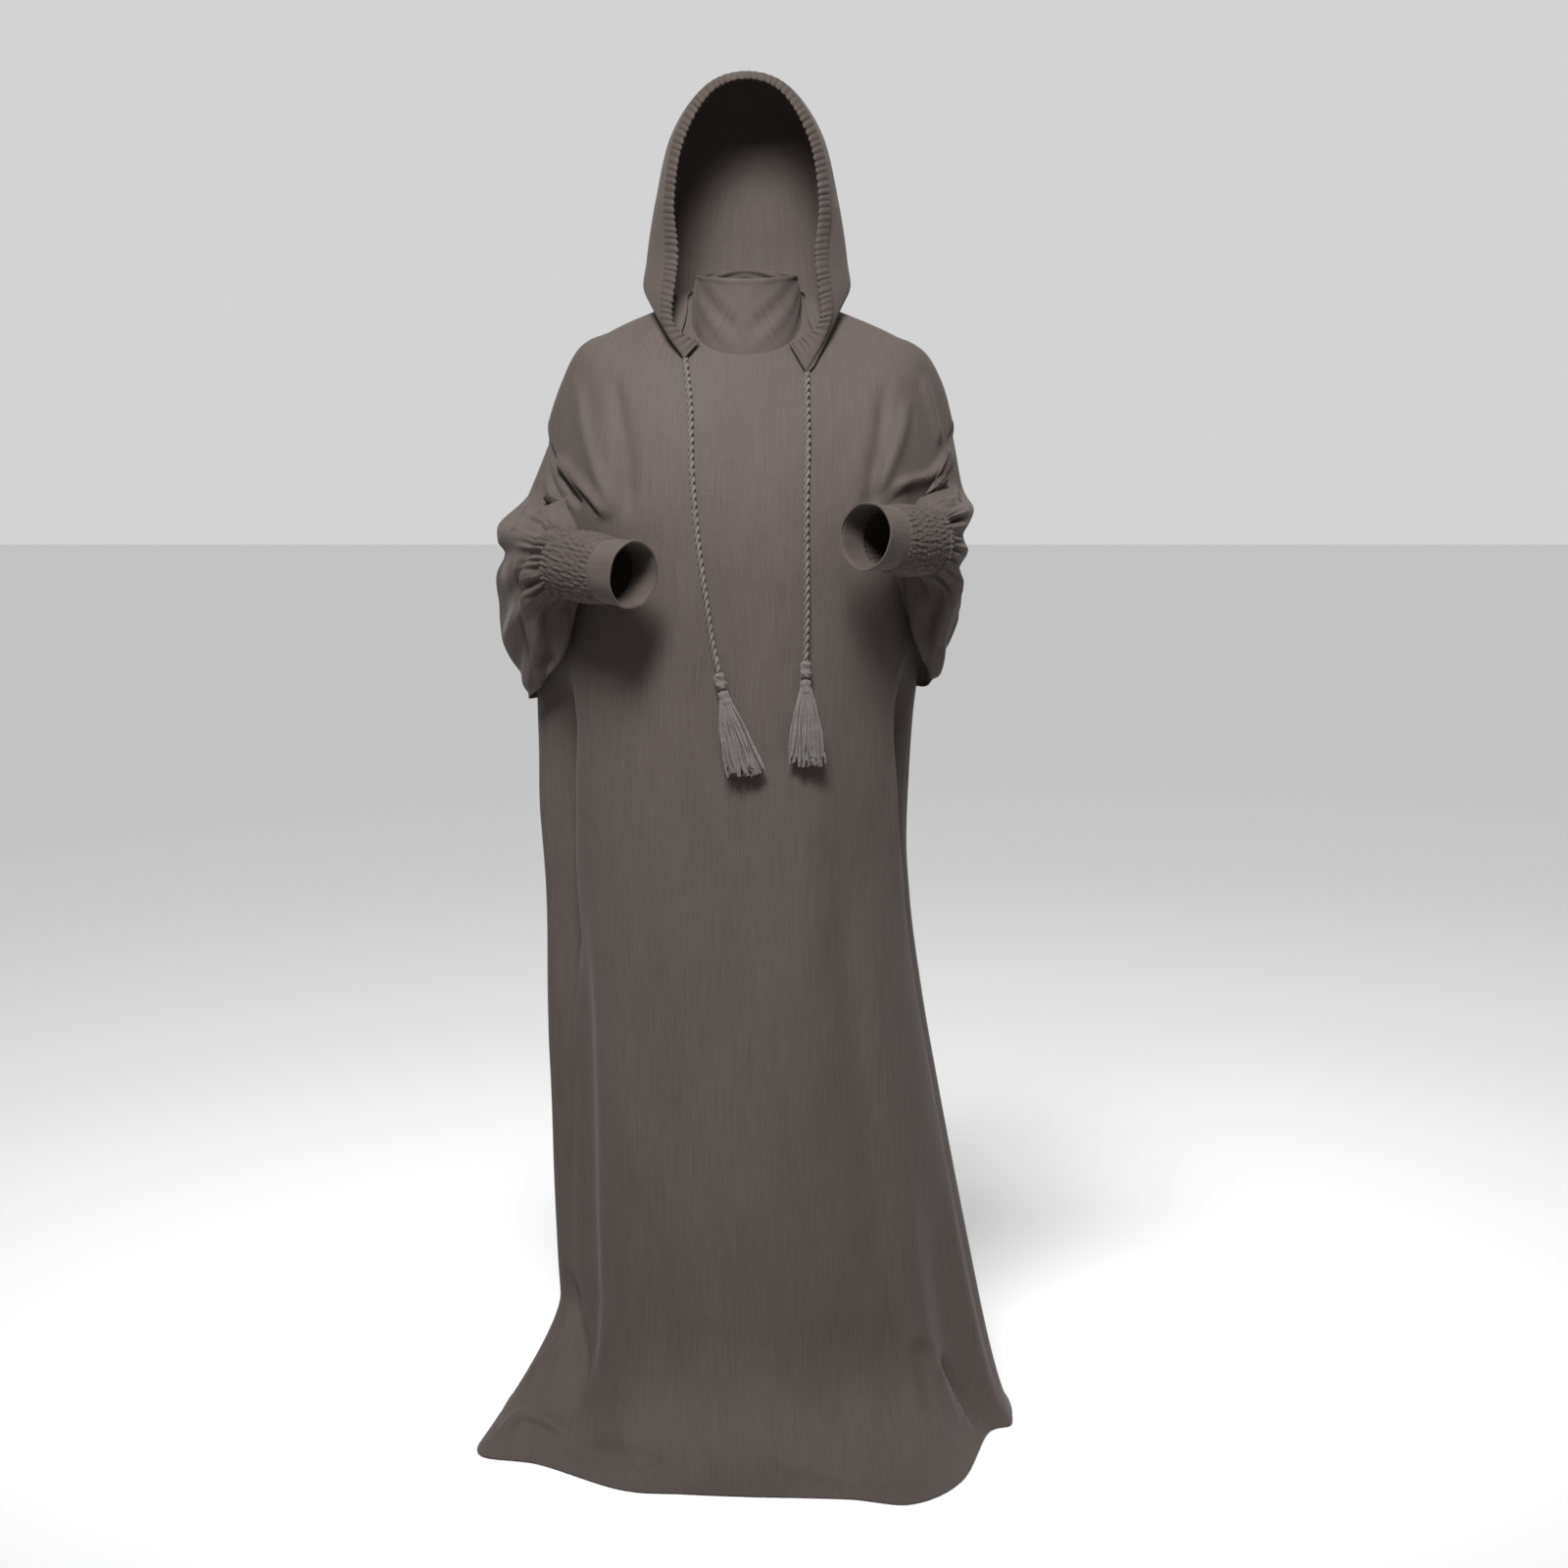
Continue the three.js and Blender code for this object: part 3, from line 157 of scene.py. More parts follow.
# Soft ridges (depth over 0) and troughs of the cloth, listed one by one. Columns: half width, depth, how far
# it leans over, the points of its line.
CREASES = [
    (26, 9, 0, [(-160, -6, -36), (-198, -8, -82), (-222, -4, -130), (-234, 0, -170)]),
    (24, 7, 0, [(176, -6, -44), (212, -8, -88), (232, -4, -134), (240, 0, -160)]),
    (4, -8, 0, [(-214, -62, -190), (-196, -90, -214), (-178, -112, -236), (-166, -120, -250)]),
    (8, 6, 0, [(-262, -40, -250), (-276, -60, -268), (-280, -90, -290)]),
    (6, 6, 0, [(-200, -112, -262), (-214, -128, -276), (-232, -132, -300), (-246, -128, -330)]),
    (5, 6, 0, [(-252, -128, -350), (-246, -104, -400), (-238, -76, -446)]),
    (5, -7, 0, [(-240, -118, -352), (-236, -96, -402), (-232, -66, -448)]),
    (5, 6, 0, [(236, -128, -330), (226, -106, -376), (214, -72, -420)]),
    (5, -6, 0, [(244, -120, -290), (240, -112, -340), (226, -86, -396)]),
    (9, 6, 0, [(-198, -25, -86), (-191, -56, -120), (-185, -76, -154), (-170, -105, -200),
        (-156, -120, -232), (-149, -124, -259)]),
    (10, -5, 0, [(-154, -62, -80), (-144, -95, -133), (-134, -116, -193), (-133, -128, -259)]),
    (5, -9, 0, [(-233, 0, -160), (-217, -56, -198), (-201, -82, -226), (-188, -100, -240)]),
    (7, 7, -3, [(-222, -45, -178), (-205, -72, -200), (-173, -110, -229), (-156, -122, -256)]),
    (6, -9, 0, [(-200, -80, -222), (-228, -72, -230), (-252, -71, -238), (-275, -86, -261)]),
    (7, 8, 3, [(-196, -90, -232), (-236, -94, -246), (-269, -117, -271)]),
    (7, -7, 0, [(-201, -100, -248), (-234, -150, -268), (-258, -145, -307), (-273, -90, -346)]),
    (8, 8, 0, [(-239, -170, -290), (-249, -148, -332), (-241, -114, -393), (-235, -94, -428)]),
    (8, -7, 0, [(-266, -120, -300), (-262, -115, -368), (-247, -90, -426)]),
    (7, -8, 0, [(-220, -180, -330), (-228, -124, -378), (-227, -103, -414), (-226, -60, -450)]),
    (9, 7, 0, [(-280, -60, -300), (-282, -50, -360), (-262, -45, -430)]),
    (8, -6, 0, [(-284, -20, -280), (-286, -10, -350), (-266, -10, -430)]),
    (7, 5, 0, [(208, -41, -86), (222, -50, -135), (230, -50, -172)]),
    (8, 5, 0, [(194, -64, -107), (184, -91, -152), (166, -113, -198), (152, -122, -228)]),
    (9, -5, 0, [(165, -66, -86), (161, -98, -141), (152, -117, -197), (147, -123, -231),
        (140, -132, -262)]),
    (7, 9, -4, [(243, -30, -172), (239, -48, -184), (221, -72, -205), (190, -104, -214),
        (168, -116, -224)]),
    (5, -8, 0, [(246, -50, -196), (224, -88, -214), (190, -112, -226), (170, -120, -236)]),
    (6, 6, 0, [(256, -100, -222), (230, -112, -226), (196, -120, -230)]),
    (6, -6, 0, [(262, -110, -240), (248, -150, -256), (222, -170, -248)]),
    (7, -7, 0, [(222, -150, -330), (214, -120, -370), (205, -80, -410), (198, -40, -440)]),
    (8, 8, 0, [(250, -145, -315), (236, -121, -362), (219, -95, -408)]),
    (8, -6, 0, [(262, -80, -300), (250, -70, -370), (228, -50, -425)]),
    (9, 7, 0, [(262, -30, -250), (262, -20, -330), (236, -15, -420)]),
    (9, 9, -4, [(-288, -190, -1326), (-276, -168, -1314), (-262, -157, -1305), (-227, -167, -1312),
        (-192, -202, -1322)]),
    (9, -6, 0, [(-296, -120, -1320), (-262, -140, -1318), (-222, -182, -1322)]),
    (5, 5, 0, [(-199, -66, -1200), (-229, -72, -1242), (-262, -100, -1284)]),
    (9, -8, 0, [(-214, -36, -1150), (-203, -56, -1202), (-189, -97, -1245), (-186, -140, -1290)]),
    (16, -8, 0, [(-205, -206, -1324), (-144, -257, -1322), (-86, -281, -1323)]),
    (14, -6, 0, [(20, -284, -1318), (80, -300, -1324), (128, -324, -1332), (180, -350, -1334)]),
    (8, -10, 0, [(236, -120, -1240), (246, -112, -1272), (263, -110, -1304), (284, -125, -1334)]),
    (9, 7, 4, [(228, -150, -1236), (243, -150, -1272), (262, -160, -1312)]),
    (14, -8, 0, [(208, -156, -1210), (216, -172, -1262), (226, -210, -1306)]),
]


def smooth(low, high, x):
    t = np.clip((np.asarray(x, dtype=float) - low) / (high - low), 0, 1)
    return t * t * (3 - 2 * t)


def bell(x):
    return np.exp(-np.square(x))


def wrapped(angle):
    return (np.asarray(angle, dtype=float) + 180) % 360 - 180


def unit(v):
    return v / np.maximum(np.linalg.norm(v, axis=-1, keepdims=True), 1e-9)


def rows_at(table, place):
    """Rows of a table at places between its rows, by Catmull-Rom."""
    last = len(table) - 1
    place = np.asarray(place, dtype=float)
    i = np.clip(np.floor(place).astype(int), 0, last - 1)
    f = (place - i).reshape(place.shape + (1,) * (table.ndim - 1))
    a, b, c, d = (table[np.clip(i + k, 0, last)] for k in (-1, 0, 1, 2))
    return 0.5 * (2 * b + (c - a) * f + (2 * a - 5 * b + 4 * c - d) * f**2 + (3 * b - a - 3 * c + d) * f**3)


def fold_depth(angle, z):
    total = np.zeros(np.broadcast(angle, z).shape)
    for start, end, top, foot, depth, width, fade_in, fade_out in BODY_FOLDS:
        share = np.clip((top - z) / (top - foot), 0, 1)
        away = wrapped(angle - start - (end - start) * share) / width
        fade = smooth(-top, -top + fade_in, -z) * (1 - smooth(-foot - fade_out, -foot, -z))
        total += depth * fade * bell(away)
    return total


def loop_point(angle, place):
    """The body's cloth at an angle from the centre front and a place down the loops."""
    row = rows_at(BODY_LOOPS, np.minimum(place, BREAK_LOOP))
    front_z, right_z, left_z, back_z, right, left, front, back, flat = np.moveaxis(row, -1, 0)
    s = np.sin(np.radians(angle))
    c = np.cos(np.radians(angle))
    middle_z = (right_z + left_z) / 2
    side_z = np.where(s < 0, right_z, left_z)
    end_z = np.where(c > 0, front_z, back_z)
    z = middle_z + (side_z - middle_z) * s * s + (end_z - middle_z) * np.abs(c) ** (2 * flat**2)
    across = np.where(s < 0, right, left)
    deep = np.where(c > 0, front, back)
    out = unit(np.stack([s / across, -c / deep, np.zeros_like(z)], axis=-1))
    point = np.stack([s * across, -deep * np.sign(c) * np.abs(c) ** flat, z], axis=-1)
    return point + out * fold_depth(angle, z)[..., None]


def hem_row(angle):
    a = wrapped(angle)
    i = np.clip(np.searchsorted(HEM_LINE[:, 0], a) - 1, 0, len(HEM_LINE) - 2)
    share = (a - HEM_LINE[i, 0]) / (HEM_LINE[i + 1, 0] - HEM_LINE[i, 0])
    return rows_at(HEM_LINE[:, 1:], i + share)


def body_point(angle, place):
    """The whole body surface. Below the last loop the cloth bends out and lies down on the floor."""
    angle, place = (np.asarray(v, dtype=float) for v in np.broadcast_arrays(angle, place))
    upper = loop_point(angle, place)
    share = np.clip(place - BREAK_LOOP, 0, 1)[..., None]
    start = loop_point(angle, np.full_like(angle, BREAK_LOOP))
    slope = start - loop_point(angle, np.full_like(angle, BREAK_LOOP - 0.2))
    hem = hem_row(angle)
    end = np.stack([hem[..., 0], hem[..., 1], np.full_like(angle, FLOOR_Z + HEM_LIFT)], axis=-1)
    reach = (end[..., 2] + hem[..., 2] - start[..., 2]) / slope[..., 2]
    bend = start + slope * reach[..., None]
    a = start + (bend - start) * share
    b = bend + (end - bend) * share
    return np.where(place[..., None] <= BREAK_LOOP, upper, a + (b - a) * share)


def body_normal(angle, place):
    inside = np.clip(place, 0.02, BREAK_LOOP + 0.99)
    along = body_point(angle, inside + 0.02) - body_point(angle, inside - 0.02)
    across = body_point(angle + 0.4, inside) - body_point(angle - 0.4, inside)
    return unit(np.cross(along, across))


def grid_normals(grid, closed=False):
    """Normals of a grid of points, to the side that its columns and rows turn round."""
    if closed:
        across = np.roll(grid, -1, axis=1) - np.roll(grid, 1, axis=1)
    else:
        across = np.gradient(grid, axis=1)
    return unit(np.cross(np.gradient(grid, axis=0), across))


def outward(grid, normals, centre):
    """Turns normals away from a centre where most of them face it."""
    facing = np.sum((grid - centre) * normals)
    return normals if facing > 0 else -normals


def crease(grid, normals, width, depth, lean, points):
    """How one ridge or trough along a line of points moves a grid, softer towards both ends. The lean
    rolls it over to the side that lies on its left as the line runs."""
    moved = np.zeros_like(grid)
    share = np.linspace(0, 1, CREASE_STEPS)
    line = rows_at(np.array(points, dtype=float), share * (len(points) - 1))
    low, high = line.min(axis=0) - 4 * width, line.max(axis=0) + 4 * width
    near = np.all((grid > low) & (grid < high), axis=-1)
    if not near.any():
        return moved
    apart = np.linalg.norm(grid[near][:, None] - line[None], axis=-1)
    k = apart.argmin(axis=1)
    away = apart[np.arange(len(k)), k] / width
    fade = smooth(0, CREASE_ENDS, share[k]) * (1 - smooth(1 - CREASE_ENDS, 1, share[k]))
    strength = fade * bell(away)
    step = normals[near] * (depth * strength)[:, None]
    if lean:
        along = unit(np.gradient(line, axis=0))[k]
        step += unit(np.cross(normals[near], along)) * (lean * strength)[:, None]
    moved[near] = step
    return moved


def build_mesh(name, points, quads, uv, sharp=55):
    """A mesh in metres from points in millimetres and four-sided faces."""
    quads = np.asarray(quads, dtype=np.int32)
    mesh = bpy.data.meshes.new(name)
    mesh.vertices.add(len(points))
    mesh.vertices.foreach_set("co", (np.asarray(points, dtype=np.float32) * MM).ravel())
    mesh.loops.add(quads.size)
    mesh.loops.foreach_set("vertex_index", quads.ravel())
    mesh.polygons.add(len(quads))
    mesh.polygons.foreach_set("loop_start", np.arange(0, quads.size, 4, dtype=np.int32))
    layer = mesh.uv_layers.new(name=CLOTH_UV)
    layer.data.foreach_set("uv", (np.asarray(uv, dtype=np.float32) * MM).ravel())
    mesh.update(calc_edges=True)
    mesh.validate()
    mesh.polygons.foreach_set("use_smooth", np.ones(len(mesh.polygons), dtype=bool))
    mesh.set_sharp_from_angle(angle=math.radians(sharp))
    piece = bpy.data.objects.new(name, mesh)
    bpy.context.collection.objects.link(piece)
    return piece


def grid_quads(rows, columns, closed):
    across = columns if closed else columns - 1
    i, j = np.meshgrid(np.arange(rows - 1), np.arange(across), indexing="ij")
    k = (j + 1) % columns
    above, below = i * columns, (i + 1) * columns
    quads = np.stack([above + j, above + k, below + k, below + j], axis=-1)
    pairs = ((i, j), (i, j + 1), (i + 1, j + 1), (i + 1, j))
    corners = np.stack([np.stack(pair, -1) for pair in pairs], axis=2)
    return quads.reshape(-1, 4), corners.reshape(-1, 4, 2)


def shell(name, node, grid, material, uv, centre, closed=False, thickness=SHELL):
    """A thin wall on a grid of outer points, with its rims closed. uv has one more column when closed."""
    rows, columns = grid.shape[:2]
    normals = outward(grid, grid_normals(grid, closed), centre)
    inner = grid - normals * thickness
    points = np.concatenate([grid.reshape(-1, 3), inner.reshape(-1, 3)])
    quads, corners = grid_quads(rows, columns, closed)
    count = rows * columns
    a, b, c = (grid.reshape(-1, 3)[quads[:, k]] for k in (0, 1, 2))
    turned = np.sum(np.cross(b - a, c - a) * normals.reshape(-1, 3)[quads[:, 0]]) > 0
    outer_quads = quads if turned else quads[:, ::-1]
    inner_quads = (quads[:, ::-1] if turned else quads) + count
    coords = uv[corners[..., 0], corners[..., 1]]
    outer_uv = coords if turned else coords[:, ::-1]
    inner_uv = coords[:, ::-1] if turned else coords

    def rim(line, line_uv):
        pair = np.stack([line[:-1], line[1:], line[1:] + count, line[:-1] + count], axis=-1)
        pair_uv = np.stack([line_uv[:-1], line_uv[1:], line_uv[1:], line_uv[:-1]], axis=1)
        p, q, r = (points[pair[:, k]] for k in (0, 1, 2))
        return pair, pair_uv, np.cross(q - p, r - p)

    index = np.arange(count).reshape(rows, columns)
    last = columns if closed else columns - 1
    wrap = np.concatenate([index, index[:, :1]], axis=1) if closed else index
    edges = [
        (wrap[0], uv[0, : last + 1], grid[0] - grid[1]),
        (wrap[-1], uv[-1, : last + 1], grid[-1] - grid[-2]),
    ]
    if not closed:
        edges += [
            (index[:, 0], uv[:, 0], grid[:, 0] - grid[:, 1]),
            (index[:, -1], uv[:, last], grid[:, -1] - grid[:, -2]),
        ]
    all_quads = [outer_quads, inner_quads]
    all_uv = [outer_uv, inner_uv]
    for line, line_uv, away in edges:
        pair, pair_uv, facing = rim(line, line_uv)
        if np.sum(facing * away[: len(facing)]) < 0:
            pair, pair_uv = pair[:, ::-1], pair_uv[:, ::-1]
        all_quads.append(pair)
        all_uv.append(pair_uv)
    piece = build_mesh(name, points, np.concatenate(all_quads), np.concatenate(all_uv))
    piece.data.materials.append(material)
    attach(piece, "root")
    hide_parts(node)


def cloth_uv(grid, across=None, closed=False):
    """Cloth coordinates of a grid: across it from its middle column, or as given for each column, and
    down each column."""
    down = np.linalg.norm(np.diff(grid, axis=0), axis=-1)
    v = np.concatenate([np.zeros((1, grid.shape[1])), np.cumsum(down, axis=0)])
    if across is None:
        step = np.linalg.norm(np.diff(grid, axis=1), axis=-1)
        u = np.concatenate([np.zeros((grid.shape[0], 1)), np.cumsum(step, axis=1)], axis=1)
        u -= u[:, grid.shape[1] // 2, None]
    else:
        u = np.broadcast_to(across[: grid.shape[1]], grid.shape[:2])
    uv = np.stack([u, v], axis=-1)
    if closed:
        end = uv[:, :1].copy()
        end[..., 0] = across[-1]
        uv = np.concatenate([uv, end], axis=1)
    return uv


# Finishes

CLOTH_UV = "cloth"
CLOTH_DARK = (0.041, 0.0315, 0.0275)
CLOTH_LIGHT = (0.068, 0.0545, 0.0490)
SLUB_DARK = (0.030, 0.023, 0.020)
CORD_DARK = (0.034, 0.0275, 0.0245)
CORD_LIGHT = (0.112, 0.095, 0.087)


class Nodes:
    """Short names for making the nodes of one material."""

    def __init__(self, name):
        self.material = bpy.data.materials.new(name)
        self.material.use_nodes = True
        self.tree = self.material.node_tree
        self.shader = self.tree.nodes["Principled BSDF"]

    def add(self, kind, values=(), **settings):
        node = self.tree.nodes.new(kind)
        for key, value in settings.items():
            setattr(node, key, value)
        for key, value in dict(values).items():
            if isinstance(value, bpy.types.NodeSocket):
                self.tree.links.new(value, node.inputs[key])
            else:
                node.inputs[key].default_value = value
        return node

    def link(self, source, socket):
        self.tree.links.new(source, self.shader.inputs[socket])

    def noise(self, vector, scale, detail=2.0, roughness=0.5):
        return self.add("ShaderNodeTexNoise", {"Vector": vector, "Scale": scale, "Detail": detail,
                                               "Roughness": roughness}).outputs["Fac"]

    def stretched(self, vector, scale):
        return self.add("ShaderNodeMapping", {"Vector": vector, "Scale": scale}).outputs["Vector"]

    def ramp(self, factor, low, high):
        node = self.add("ShaderNodeMapRange", {"Value": factor, "From Min": low, "From Max": high})
        node.interpolation_type = "SMOOTHSTEP"
        return node.outputs["Result"]

    def math(self, operation, a, b):
        return self.add("ShaderNodeMath", {0: a, 1: b}, operation=operation).outputs[0]

    def mix(self, factor, a, b):
        node = self.add("ShaderNodeMix", {"Factor": factor}, data_type="RGBA")
        for socket, value in ((node.inputs[6], a), (node.inputs[7], b)):
            if isinstance(value, bpy.types.NodeSocket):
                self.tree.links.new(value, socket)
            else:
                socket.default_value = (*value, 1)
        return node.outputs[2]

    def bump(self, height, distance, strength=1.0, normal=None):
        values = {"Height": height, "Distance": distance, "Strength": strength}
        if normal is not None:
            values["Normal"] = normal
        return self.add("ShaderNodeBump", values).outputs["Normal"]


def crepe(name, streaks=1.0, crumple=1.0):
    """Dark grey-brown crepe: slubs and fine streaks down the cloth, a crossing weave, and a soft sheen."""
    n = Nodes(name)
    cloth = n.add("ShaderNodeUVMap", uv_map=CLOTH_UV).outputs["UV"]
    warp = n.noise(n.stretched(cloth, (620, 14, 1)), 1.0, 3.0, 0.6)
    slub = n.ramp(n.noise(n.stretched(cloth, (330, 24, 1)), 1.0, 1.0), 0.56, 0.74)
    weft = n.noise(n.stretched(cloth, (18, 700, 1)), 1.0, 2.0, 0.5)
    mottle = n.noise(n.stretched(cloth, (9, 4, 1)), 1.0, 4.0, 0.6)
    grain = n.noise(n.stretched(cloth, (1500, 1100, 1)), 1.0, 2.0, 0.5)
    tone = n.math("ADD", n.math("MULTIPLY", warp, 0.62 * streaks), n.math("MULTIPLY", mottle, 0.42))
    tone = n.math("ADD", tone, n.math("MULTIPLY", n.math("SUBTRACT", weft, 0.5), 0.22))
    tone = n.math("ADD", tone, n.math("MULTIPLY", n.math("SUBTRACT", grain, 0.5), 0.25))
    colour = n.mix(n.ramp(tone, 0.2, 0.85), CLOTH_DARK, CLOTH_LIGHT)
    colour = n.mix(n.math("MULTIPLY", slub, 0.22 * streaks), colour, SLUB_DARK)
    n.link(colour, "Base Color")
    rough = n.add("ShaderNodeMapRange", {"Value": warp, "To Min": 0.66, "To Max": 0.84})
    n.link(rough.outputs["Result"], "Roughness")
    crush = n.noise(n.stretched(cloth, (34, 15, 1)), 1.0, 4.0, 0.55)
    normal = n.bump(crush, 0.0016, 0.5 * crumple)
    threads = n.math("ADD", n.math("MULTIPLY", grain, 0.5), weft)
    threads = n.math("ADD", n.math("MULTIPLY", warp, 0.6), threads)
    normal = n.bump(threads, 0.00035, 0.55, normal)
    n.tree.links.new(normal, n.shader.inputs["Normal"])
    n.shader.inputs["Sheen Weight"].default_value = 0.06
    n.shader.inputs["Sheen Roughness"].default_value = 0.45
    n.shader.inputs["Sheen Tint"].default_value = (0.92, 0.86, 0.82, 1)
    n.shader.inputs["Specular IOR Level"].default_value = 0.22
    return n.material


def yarn(name):
    """Grey spun yarn, with fibres along the strands."""
    n = Nodes(name)
    strand = n.add("ShaderNodeUVMap", uv_map=CLOTH_UV).outputs["UV"]
    fibres = n.noise(n.stretched(strand, (2600, 260, 1)), 1.0, 3.0, 0.6)
    patches = n.noise(n.stretched(strand, (160, 60, 1)), 1.0, 2.0, 0.5)
    tone = n.math("ADD", n.math("MULTIPLY", fibres, 0.7), n.math("MULTIPLY", patches, 0.4))
    n.link(n.mix(n.ramp(tone, 0.3, 0.8), CORD_DARK, CORD_LIGHT), "Base Color")
    n.shader.inputs["Roughness"].default_value = 0.85
    n.shader.inputs["Sheen Weight"].default_value = 0.2
    n.shader.inputs["Sheen Roughness"].default_value = 0.5
    n.tree.links.new(n.bump(fibres, 0.0005, 0.7), n.shader.inputs["Normal"])
    return n.material


def plain(name, colour, roughness):
    n = Nodes(name)
    n.shader.inputs["Base Color"].default_value = (*colour, 1)
    n.shader.inputs["Roughness"].default_value = roughness
    return n.material


# Camera, floor and light

CAMERA_PLACE = (0.047, -4.2, -0.14)
CAMERA_PITCH = 5.9
CAMERA_LENS = 80.8
FLOOR_HALF = 30
FLOOR_DROP = 0.0004
FLOOR_COLOUR = (0.78, 0.78, 0.78)

# Columns: name, place, size, power, spread in degrees, the point that it faces.
LIGHTS = [
    ("key", (-0.30, -2.2, 1.9), 0.9, 31, 66, (0.02, 0, -0.22)),
    ("fill", (0.5, -3.6, 0.3), 2.0, 3, 180, (0, 0, -0.6)),
    ("back", (0.6, 3.4, 1.6), 2.4, 5, 180, (0, 0, -0.5)),
]
WORLD_BASE = 0.03
# Columns: axis, where the ramp starts and ends along it, how much light it adds: behind, in front, above.
WORLD_RAMPS = [
    (1, 0.15, 0.8, 0.62),
    (1, -0.15, -0.8, 0.03),
    (2, 0.2, 0.9, 0.78),
]


def pale_world():
    """A pale room, darker to both sides than in front, behind and above."""
    world = bpy.data.worlds.new("studio")
    world.use_nodes = True
    tree = world.node_tree
    place = tree.nodes.new("ShaderNodeSeparateXYZ")
    tree.links.new(tree.nodes.new("ShaderNodeTexCoord").outputs["Generated"], place.inputs[0])
    total = WORLD_BASE
    for axis, low, high, most in WORLD_RAMPS:
        ramp = tree.nodes.new("ShaderNodeMapRange")
        tree.links.new(place.outputs[axis], ramp.inputs["Value"])
        ramp.inputs["From Min"].default_value = low
        ramp.inputs["From Max"].default_value = high
        ramp.inputs["To Max"].default_value = most
        add = tree.nodes.new("ShaderNodeMath")
        add.operation = "ADD"
        tree.links.new(ramp.outputs["Result"], add.inputs[0])
        if isinstance(total, float):
            add.inputs[1].default_value = total
        else:
            tree.links.new(total, add.inputs[1])
        total = add.outputs[0]
    tree.nodes["Background"].inputs["Color"].default_value = (1, 1, 1, 1)
    tree.links.new(total, tree.nodes["Background"].inputs["Strength"])
    return world


def studio():
    camera = bpy.data.objects.new("camera", bpy.data.cameras.new("camera"))
    camera.data.lens = CAMERA_LENS
    camera.data.sensor_width = 36
    camera.location = CAMERA_PLACE
    camera.rotation_euler = (math.radians(90 - CAMERA_PITCH), 0, 0)
    bpy.context.collection.objects.link(camera)
    bpy.context.scene.camera = camera
    floor = bpy.data.meshes.new("studio_floor")
    z = FLOOR_Z * MM - FLOOR_DROP
    corners = [(x * FLOOR_HALF, y * FLOOR_HALF, z) for x, y in ((-1, -1), (1, -1), (1, 1), (-1, 1))]
    floor.from_pydata(corners, [], [(0, 1, 2, 3)])
    floor_piece = bpy.data.objects.new("studio_floor", floor)
    floor.materials.append(plain("pale_floor", FLOOR_COLOUR, 0.9))
    bpy.context.collection.objects.link(floor_piece)
    for name, place, size, power, spread, target in LIGHTS:
        light = bpy.data.lights.new(name, "AREA")
        light.size = size
        light.energy = power
        light.spread = math.radians(spread)
        lamp = bpy.data.objects.new(name, light)
        lamp.location = place
        lamp.rotation_euler = (Vector(target) - Vector(place)).to_track_quat("-Z", "Y").to_euler()
        bpy.context.collection.objects.link(lamp)
    bpy.context.scene.world = pale_world()
    bpy.context.scene.view_settings.view_transform = "Standard"


studio()
CREPE = crepe("crepe")
CREPE_SOFT = crepe("crepe_smocked", 0.5, 1.4)
YARN = yarn("cord_yarn")


# Drawcords, knots and tassels

PLY_OFFSET = 1.62
PLY_RADIUS = 1.68
CORD_PITCH = 19.0
CORD_ROUTES = {
    "right": [(-67, -71.4, 6), (-61, -130, 5.5), (-59, -197, 5), (-52, -275, 5), (-43, -340, 5.5),
              (-35, -393, 6.5), (-27, -428, 9.5)],
    "left": [(73, -87.4, 6), (73, -116, 5.5), (74, -163, 5), (72, -241, 5), (72, -300, 5),
             (72, -353, 6), (70, -415, 9.5)],
}
KNOT = np.array([(0, 0), (0.4, 3.4), (4.2, 6.2), (9.4, 4.6), (14.6, 6.6), (19.2, 5.2), (21, 3), (21.2, 0)])
TASSEL_HEAD = np.array([(0, 0), (0.4, 4.2), (4.5, 6.2), (9, 5.6), (13, 6.4), (17, 6.2), (17.6, 0)])
TASSEL_LEAN = {"right": (28, -15, -92), "left": (2, -15, -93)}
TASSEL_REACH = 105
TASSEL_STRANDS = 66
TASSEL_SEEDS = {"right": 7, "left": 11}
STRAND_STEPS = 14
STRAND_RADIUS = (0.95, 1.4)
GOLDEN_ANGLE = 2.39996
SEAM_GAP = 0.3
CAP_SHARE = 0.05


def off_front(x, z, distance):
    """The point that stands a given distance off the front of the body at an x and a height."""
    angle = 0.0
    for _ in range(20):
        low, high = 0.0, float(BREAK_LOOP)
        for _ in range(26):
            place = (low + high) / 2
            if body_point(angle, place)[2] > z:
                low = place
            else:
                high = place
        angle += (x - body_point(angle, place)[0]) / 4
    return body_point(angle, place) + body_normal(angle, place) * distance


def centripetal(points, t):
    """Centripetal Catmull-Rom through rows of points, at places from 0 to 1 spread over its stretches."""
    points = np.asarray(points, dtype=float)
    points = np.concatenate([[2 * points[0] - points[1]], points, [2 * points[-1] - points[-2]]])
    spans = len(points) - 3
    place = np.clip(np.asarray(t, dtype=float), 0, 1) * spans
    i = np.minimum(place.astype(int), spans - 1)
    f = (place - i).reshape(place.shape + (1,) * (points.ndim - 1))
    p0, p1, p2, p3 = (points[i + k] for k in range(4))
    gap = [np.maximum(np.linalg.norm(b - a, axis=-1, keepdims=True) ** 0.5, 1e-4)
           for a, b in ((p0, p1), (p1, p2), (p2, p3))]
    start = ((p1 - p0) / gap[0] - (p2 - p0) / (gap[0] + gap[1]) + (p2 - p1) / gap[1]) * gap[1]
    end = ((p2 - p1) / gap[1] - (p3 - p1) / (gap[1] + gap[2]) + (p3 - p2) / gap[2]) * gap[1]
    return p1 + start * f + (3 * (p2 - p1) - 2 * start - end) * f**2 + (2 * (p1 - p2) + start + end) * f**3


